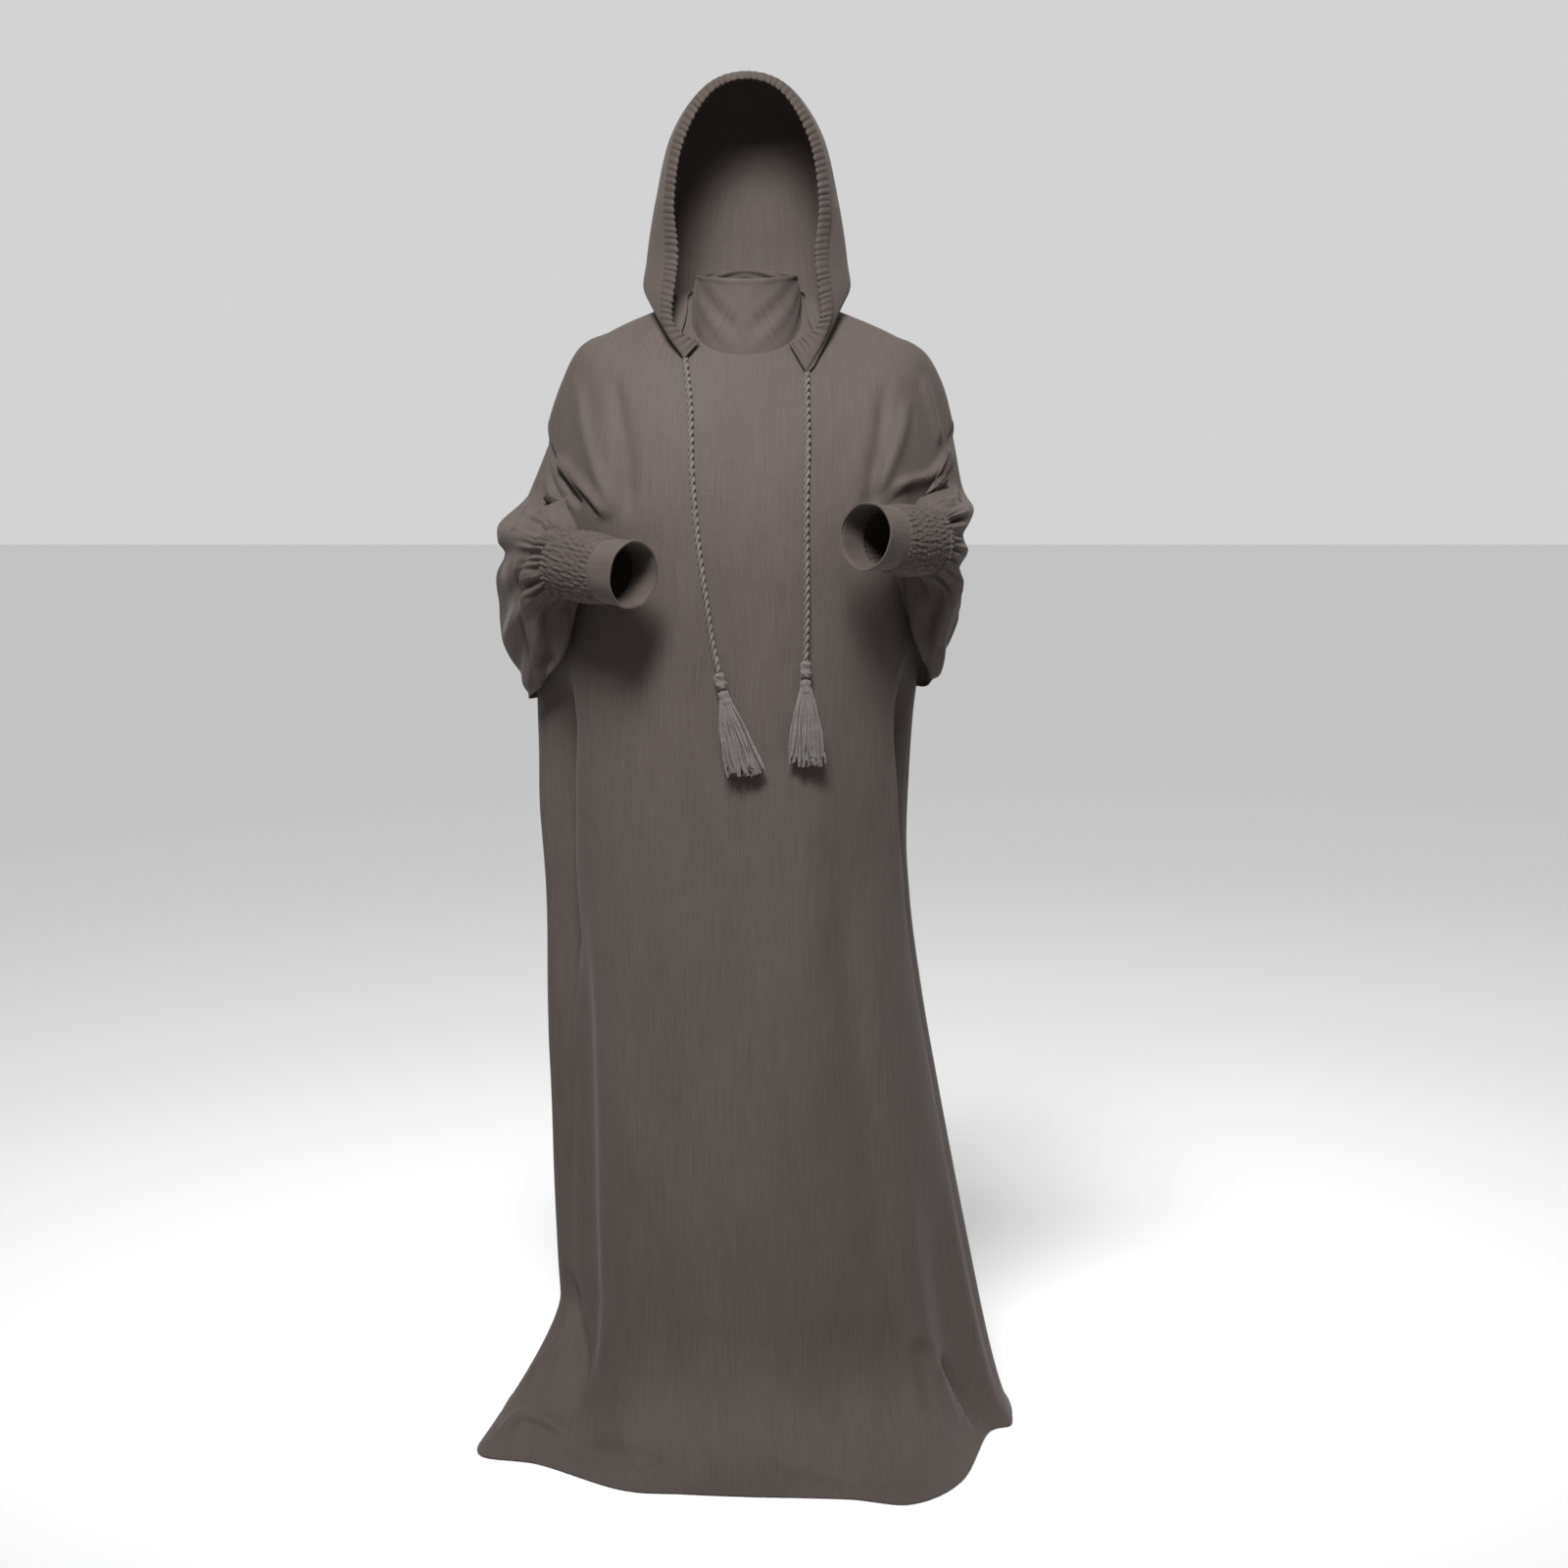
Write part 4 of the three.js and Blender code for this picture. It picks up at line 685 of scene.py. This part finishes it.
def tube_frames(path):
    """Two axes square to a path at each of its points, carried along without twisting."""
    along = unit(np.gradient(path, axis=0))
    side = unit(np.cross(along[0], (0, 1, 0)))
    sides = []
    for direction in along:
        side = unit(side - direction * np.dot(side, direction))
        sides.append(side)
    sides = np.array(sides)
    return sides, np.cross(along, sides)


def tube(path, radii, corners):
    """Points and uv of a closed tube round a path, with a radius for each point or for each corner."""
    sides, ups = tube_frames(path)
    turn = np.linspace(0, 2 * np.pi, corners, endpoint=False)
    radii = np.asarray(radii, dtype=float).reshape(len(path), -1)
    ring = np.cos(turn)[None, :, None] * sides[:, None] + np.sin(turn)[None, :, None] * ups[:, None]
    grid = path[:, None] + ring * radii[..., None]
    length = np.concatenate([[0], np.cumsum(np.linalg.norm(np.diff(path, axis=0), axis=1))])
    around = np.linspace(0, 2 * np.pi * float(np.mean(radii)), corners + 1)
    uv = np.stack(np.broadcast_arrays(around[None], length[:, None]), axis=-1)
    return grid, uv


def joined_tubes(name, tubes, material, sharp=80):
    """One mesh from many tubes, each closed at both ends on the middle of its ring."""
    points, quads, uvs = [], [], []
    base = 0
    for grid, uv in tubes:
        rows, corners = grid.shape[:2]
        start, end = grid[0].mean(axis=0), grid[-1].mean(axis=0)
        grid = np.concatenate([
            np.repeat(start[None, None], corners, axis=1) + (grid[:1] - start) * CAP_SHARE,
            grid,
            np.repeat(end[None, None], corners, axis=1) + (grid[-1:] - end) * CAP_SHARE,
        ])
        uv = np.concatenate([uv[:1], uv, uv[-1:]])
        faces, corner = grid_quads(rows + 2, corners, True)
        a, b, c = (grid.reshape(-1, 3)[faces[:, k]] for k in (0, 1, 2))
        middle = np.repeat(grid.mean(axis=1), corners, axis=0)[faces[:, 0]]
        if np.sum(np.cross(b - a, c - a) * (a - middle)) < 0:
            faces, corner = faces[:, ::-1], corner[:, ::-1]
        points.append(grid.reshape(-1, 3))
        quads.append(faces + base)
        uvs.append(uv[corner[..., 0], corner[..., 1]])
        for row, way in ((0, 1), (rows + 1, -1)):
            ring = np.arange(corners) + row * corners
            cap = np.array([[ring[k], ring[k + 1], ring[corners - 2 - k], ring[corners - 1 - k]]
                            for k in range(corners // 2 - 1)])
            p, q, r = (grid.reshape(-1, 3)[cap[0, k]] for k in (0, 1, 2))
            away = grid[row].mean(axis=0) - grid[row + way].mean(axis=0)
            away = away + (grid[0] - grid[-1]).mean(axis=0) * way
            if np.dot(np.cross(q - p, r - p), away) < 0:
                cap = cap[:, ::-1]
            quads.append(cap + base)
            uvs.append(np.zeros((len(cap), 4, 2)))
        base += len(grid.reshape(-1, 3))
    piece = build_mesh(name, np.concatenate(points), np.concatenate(quads), np.concatenate(uvs), sharp)
    piece.data.materials.append(material)
    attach(piece, "root")
    return piece


def drawcord(side):
    """A cord of two plies twisted round each other, down the front of the dress."""
    route = np.array([off_front(*row) for row in CORD_ROUTES[side]])
    path = centripetal(route, np.linspace(0, 1, 260))
    length = np.concatenate([[0], np.cumsum(np.linalg.norm(np.diff(path, axis=0), axis=1))])
    turn = np.linspace(0, 2 * np.pi, 20, endpoint=False)[None] - 2 * np.pi * length[:, None] / CORD_PITCH
    across, beside = np.abs(np.cos(turn)), np.sin(turn)
    lobes = PLY_OFFSET * across + np.sqrt(PLY_RADIUS**2 - (PLY_OFFSET * beside) ** 2)
    piece = joined_tubes(f"cord_{side}", [tube(path, lobes, 20)], YARN)
    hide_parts(f"drawcord_{side}")
    return piece, path, length[-1]


def turned(profile, start, axis, rows, corners, lobes, twist, depth):
    """A turned form, wound round by lobes that twist as they go down."""
    down = np.linspace(0, profile[-1, 0], rows)
    radius = np.interp(down, profile[:, 0], profile[:, 1])
    radius = np.maximum(np.convolve(np.pad(radius, 2, mode="edge"), np.ones(5) / 5, mode="valid"), 0.3)
    turn = np.linspace(0, 2 * np.pi, corners, endpoint=False)
    wound = 1 + depth * np.cos(lobes * turn[None] + twist * down[:, None])
    path = start + axis * down[:, None]
    return tube(path, radius[:, None] * wound, corners)


def knot_and_tassel(side, path):
    direction = unit(path[-1] - path[-2])
    start = path[-1] + direction * SEAM_GAP
    knot = turned(KNOT, start, direction, 56, 36, 3, 0.42, 0.17)
    knot_piece = joined_tubes(f"cord_knot_{side}", [knot], YARN)
    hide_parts(f"knot_{side}")
    head_start = start + direction * (KNOT[-1, 0] + SEAM_GAP)
    lean = np.array(TASSEL_LEAN[side], dtype=float)
    axis = unit(lean)
    tubes = [turned(TASSEL_HEAD, head_start, axis, 40, 28, 16, 0.25, 0.06)]
    rng = np.random.default_rng(TASSEL_SEEDS[side])
    for k in range(TASSEL_STRANDS):
        turn = k * GOLDEN_ANGLE
        spread = math.sqrt((k + 0.5) / TASSEL_STRANDS)
        c, s = spread * math.cos(turn), spread * math.sin(turn)
        root = head_start + axis * 9 + np.array([5.0 * c, 4.6 * s, 0])
        end = head_start + lean + np.array([
            22 * c + rng.normal(0, 1.2),
            6 * s,
            6 * math.sin(k * 1.9) + rng.normal(0, 1.5),
        ])
        fall = end - head_start
        end = head_start + fall * min(1, TASSEL_REACH / np.linalg.norm(fall))
        share = np.linspace(0, 1, STRAND_STEPS)[:, None]
        swell = np.array([3.0 * c, 1.5 * s, 0])
        line = root + (end - root) * share + swell * np.sin(np.pi * share)
        wobble = rng.normal(0, 1, 6)
        line += np.concatenate([
            1.5 * np.sin(7 * share + wobble[0] * 3) * share,
            0.7 * np.sin(6 * share + wobble[1] * 3) * share,
            np.zeros_like(share),
        ], axis=1)
        radius = rng.uniform(*STRAND_RADIUS) * (1 + 0.14 * np.sin(share[:, 0] * 34 + wobble[2] * 3))
        tubes.append(tube(line, radius, 6))
    tassel_piece = joined_tubes(f"cord_tassel_{side}", tubes, YARN)
    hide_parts(f"tassel_{side}")
    return knot_piece, tassel_piece


for side in SIDES:
    cord_piece, cord_path, cord_length = drawcord(side)
    knot_piece, tassel_piece = knot_and_tassel(side, cord_path)


# The two body panels

ARM_STEPS = 80
NECK_STEPS = 60
SKIRT_STEPS = 96
HEM_STEPS = 56
FRONT_COLUMNS = 150
BACK_COLUMNS = 110
SEAM_DIP = 0.7


def panel_edge(column, place):
    """Where a panel ends at places down the body, in degrees from the centre front."""
    place = np.asarray(place, dtype=float)
    inside = (place > ARMHOLE_TOP) & (place < ARMHOLE_FOOT)
    edge = rows_at(ARMHOLE_EDGES[column], np.clip(place - ARMHOLE_TOP, 0, 4))[..., 0]
    return np.where(inside, edge, 90.0)


def body_places():
    armhole = np.linspace(ARMHOLE_TOP, ARMHOLE_FOOT, ARM_STEPS + 1)
    return np.concatenate([
        np.linspace(0, ARMHOLE_TOP, NECK_STEPS + 1)[:-1],
        armhole,
        np.linspace(ARMHOLE_FOOT, BREAK_LOOP, SKIRT_STEPS + 1)[1:],
        np.linspace(BREAK_LOOP, BREAK_LOOP + 1, HEM_STEPS + 1)[1:],
    ])


def panel_grid(start, end, columns):
    """A panel's points and normals between the angles of its two edges at each place."""
    places = body_places()
    share = np.linspace(0, 1, columns + 1)[None]
    angle = start[:, None] + (end - start)[:, None] * share
    place = np.broadcast_to(places[:, None], angle.shape)
    return body_point(angle, place), body_normal(angle, place)


def raised(grid, normals):
    """A grid with all the creases that lie near it added to it."""
    result = grid.copy()
    for row in CREASES:
        result += crease(grid, normals, *row)
    return result


def on_floor(grid):
    """A grid lifted where it would sink into the floor."""
    grid[..., 2] = np.maximum(grid[..., 2], FLOOR_Z + SHELL + 0.5)
    return grid


# The sleeves, from the armhole to the cuff

SLEEVE_LEAVES = {
    "right": np.array([(6, -9, -16), (8, -12, 0), (8, -13, 0), (18, 2, -8)], dtype=float),
    "left": np.array([(6, -9, -16), (8, -12, 0), (9, -14, 0), (15, 2, -8)], dtype=float),
}
# Rings between the armhole and the cuff: top, inner, foot and outer points, with x out from the middle.
SLEEVE_RINGS = {
    "right": np.array([
        [(248, -50, -228), (187, -120, -302), (248, -62, -458), (286, -12, -318)],
        [(250, -92, -244), (190, -124, -302), (240, -100, -416), (284, -80, -318)],
        [(230, -128, -256), (194, -126, -303), (226, -134, -364), (260, -140, -310)],
    ], dtype=float),
    "left": np.array([
        [(247, -54, -213), (187, -121, -279), (224, -68, -440), (256, -20, -290)],
        [(247, -100, -226), (192, -125, -279), (228, -106, -394), (258, -88, -288)],
        [(238, -136, -230), (198, -128, -279), (228, -138, -338), (256, -146, -284)],
    ], dtype=float),
}
CUFF_RADIUS = 36
CUFF_LINES = {
    "right": np.array([(-204, -160, -303), (-122, -238, -313)], dtype=float),
    "left": np.array([(211, -164, -279), (138, -243, -269)], dtype=float),
}
SMOCK_SHARE = 0.66
# Soft folds of a sleeve: place round the ring (0 top, 0.25 inner, 0.5 foot, 0.75 outer), place along it,
# depth, half width round and along.
SLEEVE_FOLDS = [
    (0.05, 0.5, -5, 0.05, 0.25),
    (0.93, 0.48, -7, 0.04, 0.28),
    (0.86, 0.6, 7, 0.04, 0.22),
    (0.79, 0.5, -7, 0.035, 0.28),
    (0.7, 0.6, -5, 0.035, 0.2),
    (0.64, 0.55, 5, 0.022, 0.22),
    (0.58, 0.45, -5, 0.02, 0.25),
    (0.52, 0.6, 4, 0.018, 0.2),
    (0.45, 0.5, -4, 0.02, 0.22),
    (0.38, 0.6, 4, 0.02, 0.2),
    (0.99, 0.65, 4, 0.018, 0.16),
]
# Gathers of a sleeve. Columns: depth, where they start and are full, where they fade and end, seeds, counts
# of their waves.
SLEEVE_GATHERS = [
    (4.2, (0.72, 0.93), (0.975, 1), {"right": 3, "left": 4}, (17, 23, 29, 38)),
    (3.2, (0.42, 0.8), (0.86, 0.97), {"right": 9, "left": 10}, (7, 10, 13)),
]
SLEEVE_STEPS = 170
# Puffs of the smocking. Columns: count round the cuff, share of the height, drift from row to row.
SMOCK_WAVES = [(31, 1.0, 1), (43, 0.8, -1), (58, 0.5, 2)]
SMOCK_BANDS = 9
SMOCK_SEEDS = {"right": 21, "left": 22}
BAND_SEEDS = {"right": 31, "left": 32}


def armhole_ring(side):
    """The edge of an armhole, down its front and up its back: its points and the normals there."""
    down = np.linspace(ARMHOLE_TOP, ARMHOLE_FOOT, ARM_STEPS + 1)
    front = SIGN[side] * panel_edge(f"{side}_front", down)
    back = SIGN[side] * panel_edge(f"{side}_back", down[::-1])
    angle = np.concatenate([front, back[1:-1]])
    place = np.concatenate([down, down[::-1][1:-1]])
    return body_point(angle, place), body_normal(angle, place)


def armhole_rounds(ring):
    """The place round the sleeve of each point of an armhole ring."""
    top, front, foot, back = (ring[len(ring) * k // 4] for k in range(4))
    centre = (top + foot + front + back) / 4
    tall = (top - foot) / 2
    wide = (front - back) / 2
    arm = ring - centre
    turn = np.arctan2(arm @ wide / (wide @ wide), arm @ tall / (tall @ tall))
    return (turn / (2 * np.pi) + 1) % 1


def ring_point(row, sign, around):
    """Points of a sleeve's ring through its top, inner, foot and outer points."""
    top, inner, foot, outer = row * np.array([sign, 1, 1])
    turn = (around * 2 * np.pi)[..., None]
    tall = top + foot
    wide = inner + outer
    return ((tall + wide) / 4 + (top - foot) * 0.5 * np.cos(turn) + (inner - outer) * 0.5 * np.sin(turn)
            + (tall - wide) * 0.25 * np.cos(2 * turn))


def cuff_frame(side):
    start, end = CUFF_LINES[side]
    length = np.linalg.norm(end - start)
    axis = (end - start) / length
    up = unit(np.array([0, 0, 1]) - axis * axis[2])
    inner = unit(np.cross(up, axis))
    return start, axis, up, inner if inner[1] >= 0 else -inner, length


def cuff_point(frame, around, along, radius):
    start, axis, up, inner, _ = frame
    turn = np.asarray(around * 2 * np.pi)[..., None]
    radius = np.asarray(radius, dtype=float)[..., None]
    along = np.asarray(along, dtype=float)[..., None]
    return start + axis * along + up * radius * np.cos(turn) + inner * radius * np.sin(turn)


def sleeve_fold(around, along):
    total = np.zeros(np.broadcast(around, along).shape)
    for middle, place, depth, wide_round, wide_along in SLEEVE_FOLDS:
        away = wrapped((around - middle) * 360) / 360 / wide_round
        total += depth * bell(away) * bell((along - place) / wide_along)
    return total * smooth(0.06, 0.34, along) * (1 - smooth(0.86, 0.97, along))


def gathers(around, along, seed, counts):
    """Uneven ripples that run along a tube, from waves of several counts."""
    rng = np.random.default_rng(seed)
    total = 0
    for count in counts:
        shift = rng.uniform(0, 2 * np.pi, 2)
        drift = 0.8 * np.sin(4 * along + shift[1])
        total = total + np.cos(2 * np.pi * count * around + shift[0] + drift) * counts[0] / count
    return total / 2


def sleeve_grid(side):
    sign = SIGN[side]
    ring, ring_normals = armhole_ring(side)
    around = armhole_rounds(ring)
    frame = cuff_frame(side)
    rings = [ring_point(row, sign, around) for row in SLEEVE_RINGS[side]]
    leaves = ring + ring_point(SLEEVE_LEAVES[side], sign, around)
    cuff = cuff_point(frame, around, 0.0, CUFF_RADIUS)
    along = np.linspace(0, 1, SLEEVE_STEPS + 1)
    grid = centripetal([ring, leaves, *rings, cuff], along)
    normals = outward(grid, grid_normals(grid, True), grid.mean(axis=1, keepdims=True))
    share = smooth(0, 0.1, along)[:, None, None]
    normals = unit(ring_normals * (1 - share) + normals * share)
    place = along[:, None]
    depth = sleeve_fold(around[None], place)
    for most, rise, fall, seeds, counts in SLEEVE_GATHERS:
        fade = most * smooth(*rise, place) * (1 - smooth(*fall, place))
        depth = depth + fade * gathers(around[None], place, seeds[side], counts)
    return grid + normals * depth[..., None], normals


def smocked_grid(side, rows=96, columns=240):
    """The smocked part of a cuff: small crushed puffs between rows of gathering."""
    frame = cuff_frame(side)
    long = frame[4] * SMOCK_SHARE
    share = np.linspace(0, 1, rows)[:, None]
    around = np.linspace(0, 1, columns, endpoint=False)[None]
    band = share * SMOCK_BANDS
    shift = np.random.default_rng(SMOCK_SEEDS[side]).uniform(0, 2 * np.pi, (SMOCK_BANDS + 1, 3))
    height = 0
    for k in range(SMOCK_BANDS + 1):
        drift = 1.3 * np.sin(2 * np.pi * 3 * around + shift[k, 1]) + 1.2 * (band - k)
        puffs = sum(most * np.cos(2 * np.pi * count * around + shift[k, j] + way * drift)
                    for j, (count, most, way) in enumerate(SMOCK_WAVES))
        height = height + bell((band - k) / 0.6) * puffs
    pinch = 1 - 0.5 * bell((band - np.floor(band) - 0.5 - 0.14 * np.sin(2 * np.pi * 7 * around)) / 0.2)
    ends = smooth(0, 0.03, share) * (1 - smooth(0.97, 1, share))
    swell = 3 * np.sin(np.pi * share)
    frill = 3.5 * bell(share / 0.035) * (1 + 0.5 * np.cos(2 * np.pi * 41 * around))
    radius = CUFF_RADIUS + ends * (swell + 0.6 + 0.62 * height + 1.1 * pinch) + frill
    return cuff_point(frame, around + 0 * radius, long * share + 0 * radius, radius)


def band_grid(side, rows=30, columns=140):
    frame = cuff_frame(side)
    start = frame[4] * SMOCK_SHARE
    share = np.linspace(0, 1, rows)[:, None]
    around = np.linspace(0, 1, columns, endpoint=False)[None]
    shift = np.random.default_rng(BAND_SEEDS[side]).uniform(0, 2 * np.pi, 3)
    turn = 2 * np.pi * around
    slack = 0.5 * np.cos(3 * turn + shift[0] + 2 * share) + 0.35 * np.cos(7 * turn + shift[1])
    edge = bell((share - 0.93) / 0.04)
    radius = CUFF_RADIUS + 0.4 + 1.8 * share + slack * smooth(0, 0.4, share) + edge
    along = start + (frame[4] - start) * share
    return cuff_point(frame, around + 0 * radius, along + 0 * radius, radius)


# The hood and its ruched casing

HOOD_CENTRE_X = 3
HOOD_HUB = np.array([HOOD_CENTRE_X, 30, 60])
# Feet of the arches on the body. Columns: angle, place, lift. Arches: rim, seam, three over the crown,
# centre back.
HOOD_BACK = [(84, 0.12, 4), (116, 0.08, 3), (150, 0.05, 2), (180, 0.05, 2)]
HOOD_BASE = {
    "right": np.array([(50, 0.1, 5), (42, 0.57, 5), *HOOD_BACK], dtype=float),
    "left": np.array([(46, 0.1, 5), (33, 0.8, 5), *HOOD_BACK], dtype=float),
}
# Lines over the hood from low to top, each with a row per arch: how far out, y and z.
HOOD_LINES = np.array([
    [(85, -66, -24), (99, -58, -22), (119, 4, 7), (102, 58, 10), (58, 91, 0), (0, 94, -8)],
    [(80, -38, 52), (95, -24, 54), (119, 20, 50), (104, 76, 50), (62, 109, 42), (0, 116, 34)],
    [(85, -24, 114), (97, -8, 116), (109, 34, 118), (93, 84, 118), (58, 118, 108), (0, 127, 98)],
    [(74, -12, 186), (85, 4, 192), (89, 42, 198), (74, 88, 190), (46, 122, 170), (0, 131, 148)],
    [(42, 0, 243), (49, 16, 251), (50, 48, 253), (42, 92, 240), (26, 122, 212), (0, 131, 182)],
    [(0, 6, 260), (0, 24, 269), (0, 54, 272), (0, 95, 258), (0, 124, 230), (0, 130, 206)],
], dtype=float)
TOP_LINE = len(HOOD_LINES)


def hood_points(sign, arch, line):
    """Points of the hood: one row for each line, one column for each arch."""
    base = rows_at(HOOD_BASE["right" if sign < 0 else "left"], arch)
    foot = (body_point(sign * base[..., 0], base[..., 1])
            + body_normal(sign * base[..., 0], base[..., 1]) * base[..., 2:3])
    control = [foot]
    for table in HOOD_LINES:
        beyond = table[4] * np.array([-1, 1, 1])
        row = rows_at(np.concatenate([table, beyond[None]]), arch)
        control.append(row * np.array([sign, 1, 1]) + np.array([HOOD_CENTRE_X, 0, 0]))
    mirrored = control[5] * np.array([-1, 1, 1]) + np.array([2 * HOOD_CENTRE_X, 0, 0])
    return rows_at(np.stack([*control, mirrored]), line)


def hood_grid(side, rows=120, columns=96):
    sign = SIGN[side]
    grid = hood_points(sign, np.linspace(1, 5, columns), np.linspace(0, TOP_LINE, rows))
    grid[:, -1, 0] = HOOD_CENTRE_X
    grid[-1, :, 0] = HOOD_CENTRE_X
    return grid


def casing_line(samples=400):
    """The casing's rim and seam from its right end over the top to its left end, at even steps."""
    u = np.linspace(-1, 1, samples + 1)
    parts = []
    for sign, chosen in ((-1, u[u < 0]), (1, u[u >= 0])):
        parts.append(hood_points(sign, np.array([0.0, 0.5, 1.0]), TOP_LINE * (1 - np.abs(chosen))))
    lines = np.concatenate(parts)
    length = np.concatenate([[0], np.cumsum(np.linalg.norm(np.diff(lines[:, 1], axis=0), axis=1))])
    return lines, length


RUCHE_PITCH = 8.2
RUCHE_DEPTH = 0.32
CASING_SEED = 5
CASING_OUTSIDE = 3.4
CASING_INSIDE = 1.5
# Unevenness of the ruching: its beat, strength and swing. Columns: knots, least, most.
RUCHE_KNOTS = [(60, -1.3, 1.3), (90, 0.6, 1.15), (320, -1, 1)]


def uneven(want, table, seed):
    """Random values along a length, one line for each row of knots in a table."""
    rng = np.random.default_rng(seed)
    return [np.interp(want, np.linspace(0, want[-1], knots), rng.uniform(low, high, knots))
            for knots, low, high in table]


def casing_grid(columns=920, corners=30):
    """The casing as a flat ruched tube: its ring runs over the outside from the seam to the rim and
    back inside."""
    lines, length = casing_line()
    want = np.linspace(0, length[-1], columns)
    rim, seam = (
        np.stack([np.interp(want, length, lines[:, k, axis]) for axis in range(3)], axis=-1) for k in (0, 2)
    )
    along = unit(np.gradient((rim + seam) / 2, axis=0))
    across = rim - seam
    out = unit(np.cross(along, across))
    out = out * np.sign(np.sum(out * ((rim + seam) / 2 - HOOD_HUB), axis=-1, keepdims=True))
    beat, strong, fine = uneven(want, RUCHE_KNOTS, CASING_SEED)
    phase = 2 * np.pi * want / RUCHE_PITCH + beat
    ruche = strong * (1 - 2 * np.abs(np.cos(phase / 2)) ** 0.8)
    turn = np.linspace(0, 2 * np.pi, corners, endpoint=False)
    middle = 0.5 - 0.5 * np.cos(turn)
    s = np.sin(turn)
    height = np.where(s >= 0, CASING_OUTSIDE, CASING_INSIDE) * np.sign(s) * np.abs(s) ** 0.7
    swing = 0.8 * s[None] * fine[:, None]
    ripple = -ruche[:, None] * (0.55 + 0.45 * middle[None] + 0.25 * swing)
    grid = (seam[:, None] + across[:, None] * middle[None, :, None]
            + out[:, None] * (height[None] * (1 + RUCHE_DEPTH * ripple))[..., None])
    width = np.linalg.norm(across, axis=-1, keepdims=True)
    scallop = (1.5 * ripple * middle[None] ** 3 - 0.5)[..., None]
    return grid + across[:, None] / width[:, None] * scallop, want


# Slanting folds of the collar. Columns: depth, count, shift.
COLLAR_FOLDS = [(1.1, 2.1, 0.6), (0.7, 4.7, 2.0)]
COLLAR_TOP = {"right": 56, "left": 62, "front": 72, "back": 48, "front_z": 24, "side_z": 30, "back_z": 40}


def collar_grid(side, rows=46, columns=120):
    sign = SIGN[side]
    angle = np.linspace(0, 180, columns)
    s = np.sin(np.radians(angle))
    c = np.cos(np.radians(angle))
    side_z = COLLAR_TOP["side_z"]
    foot = body_point(sign * angle, np.zeros_like(angle))
    top = np.stack([
        sign * s * COLLAR_TOP[side],
        -np.where(c > 0, COLLAR_TOP["front"], COLLAR_TOP["back"]) * np.sign(c) * np.abs(c) ** 0.8,
        side_z + (np.where(c > 0, COLLAR_TOP["front_z"], COLLAR_TOP["back_z"]) - side_z) * c * c,
    ], axis=-1)
    share = np.linspace(0, 1, rows)[:, None, None]
    grid = foot + (top - foot) * share
    out = unit(np.stack([sign * s, -c, np.zeros_like(c)], axis=-1))
    slant = angle[None] / 34 - 3.2 * share[..., 0]
    soft = sum(depth * np.sin(slant * count + shift) for depth, count, shift in COLLAR_FOLDS)
    fade = np.sin(np.pi * share[..., 0]).clip(0) ** 0.7 * smooth(0, 14, angle)[None]
    roll = 1.2 * bell((share[..., 0] - 0.97) / 0.04)
    return grid + out[None] * (soft * fade + roll)[..., None]


def edged(grid, normals, closed=False):
    """A grid with its sides let in a little, or its first ring when closed, where it is sewn on."""
    result = grid.copy()
    for edge in [np.s_[0]] if closed else [np.s_[:, 0], np.s_[:, -1]]:
        result[edge] -= normals[edge] * SEAM_DIP
    return result


# Making the pieces

SLEEVE_ROUND = 560
SMOCK_ROUND = 420
BAND_ROUND = 2 * np.pi * CUFF_RADIUS
BAND_SHELL = 2.0
CASING_ROUND = 46
CASING_STRETCH = 1.7


def closed_shell(name, node, grid, material, round_length, thickness=SHELL):
    """A tube of cloth, with the length round it that its weave is drawn over."""
    turn = round_length * np.linspace(0, 1, grid.shape[1] + 1)
    centre = grid.mean(axis=1, keepdims=True)
    shell(name, node, grid, material, cloth_uv(grid, turn, True), centre, True, thickness)


places = body_places()
for name, start, end, columns in (
    ("front", -panel_edge("right_front", places), panel_edge("left_front", places), FRONT_COLUMNS),
    ("back", panel_edge("left_back", places), 360 - panel_edge("right_back", places), BACK_COLUMNS),
):
    panel, panel_normals = panel_grid(start, end, columns)
    panel = on_floor(edged(raised(panel, panel_normals), panel_normals))
    shell(f"cloth_{name}", f"{name}_panel", panel, CREPE, cloth_uv(panel), BODY_HUB)
for side in SIDES:
    sleeve, sleeve_normals = sleeve_grid(side)
    sleeve = edged(raised(sleeve, sleeve_normals), sleeve_normals, closed=True)
    closed_shell(f"cloth_sleeve_{side}", f"sleeve_{side}", sleeve, CREPE, SLEEVE_ROUND)
    smocked = smocked_grid(side)
    closed_shell(f"cloth_smocking_{side}", f"cuff_smocked_{side}", smocked, CREPE_SOFT, SMOCK_ROUND)
    band = band_grid(side)
    closed_shell(f"cloth_band_{side}", f"cuff_band_{side}", band, CREPE, BAND_ROUND, BAND_SHELL)
    hood = hood_grid(side)
    shell(f"cloth_hood_{side}", f"hood_{side}", hood, CREPE, cloth_uv(hood), HOOD_HUB)
    collar = collar_grid(side)
    shell(f"cloth_collar_{side}", f"collar_{side}", collar, CREPE, cloth_uv(collar), COLLAR_HUB)
casing, casing_length = casing_grid()
ring_length = np.linspace(0, CASING_ROUND, casing.shape[1] + 1)
casing_uv = np.stack(np.broadcast_arrays(casing_length[:, None] * CASING_STRETCH, ring_length[None]), axis=-1)
casing_piece = joined_tubes("cloth_casing", [(casing, casing_uv)], CREPE_SOFT, 70)
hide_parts("hood_casing")
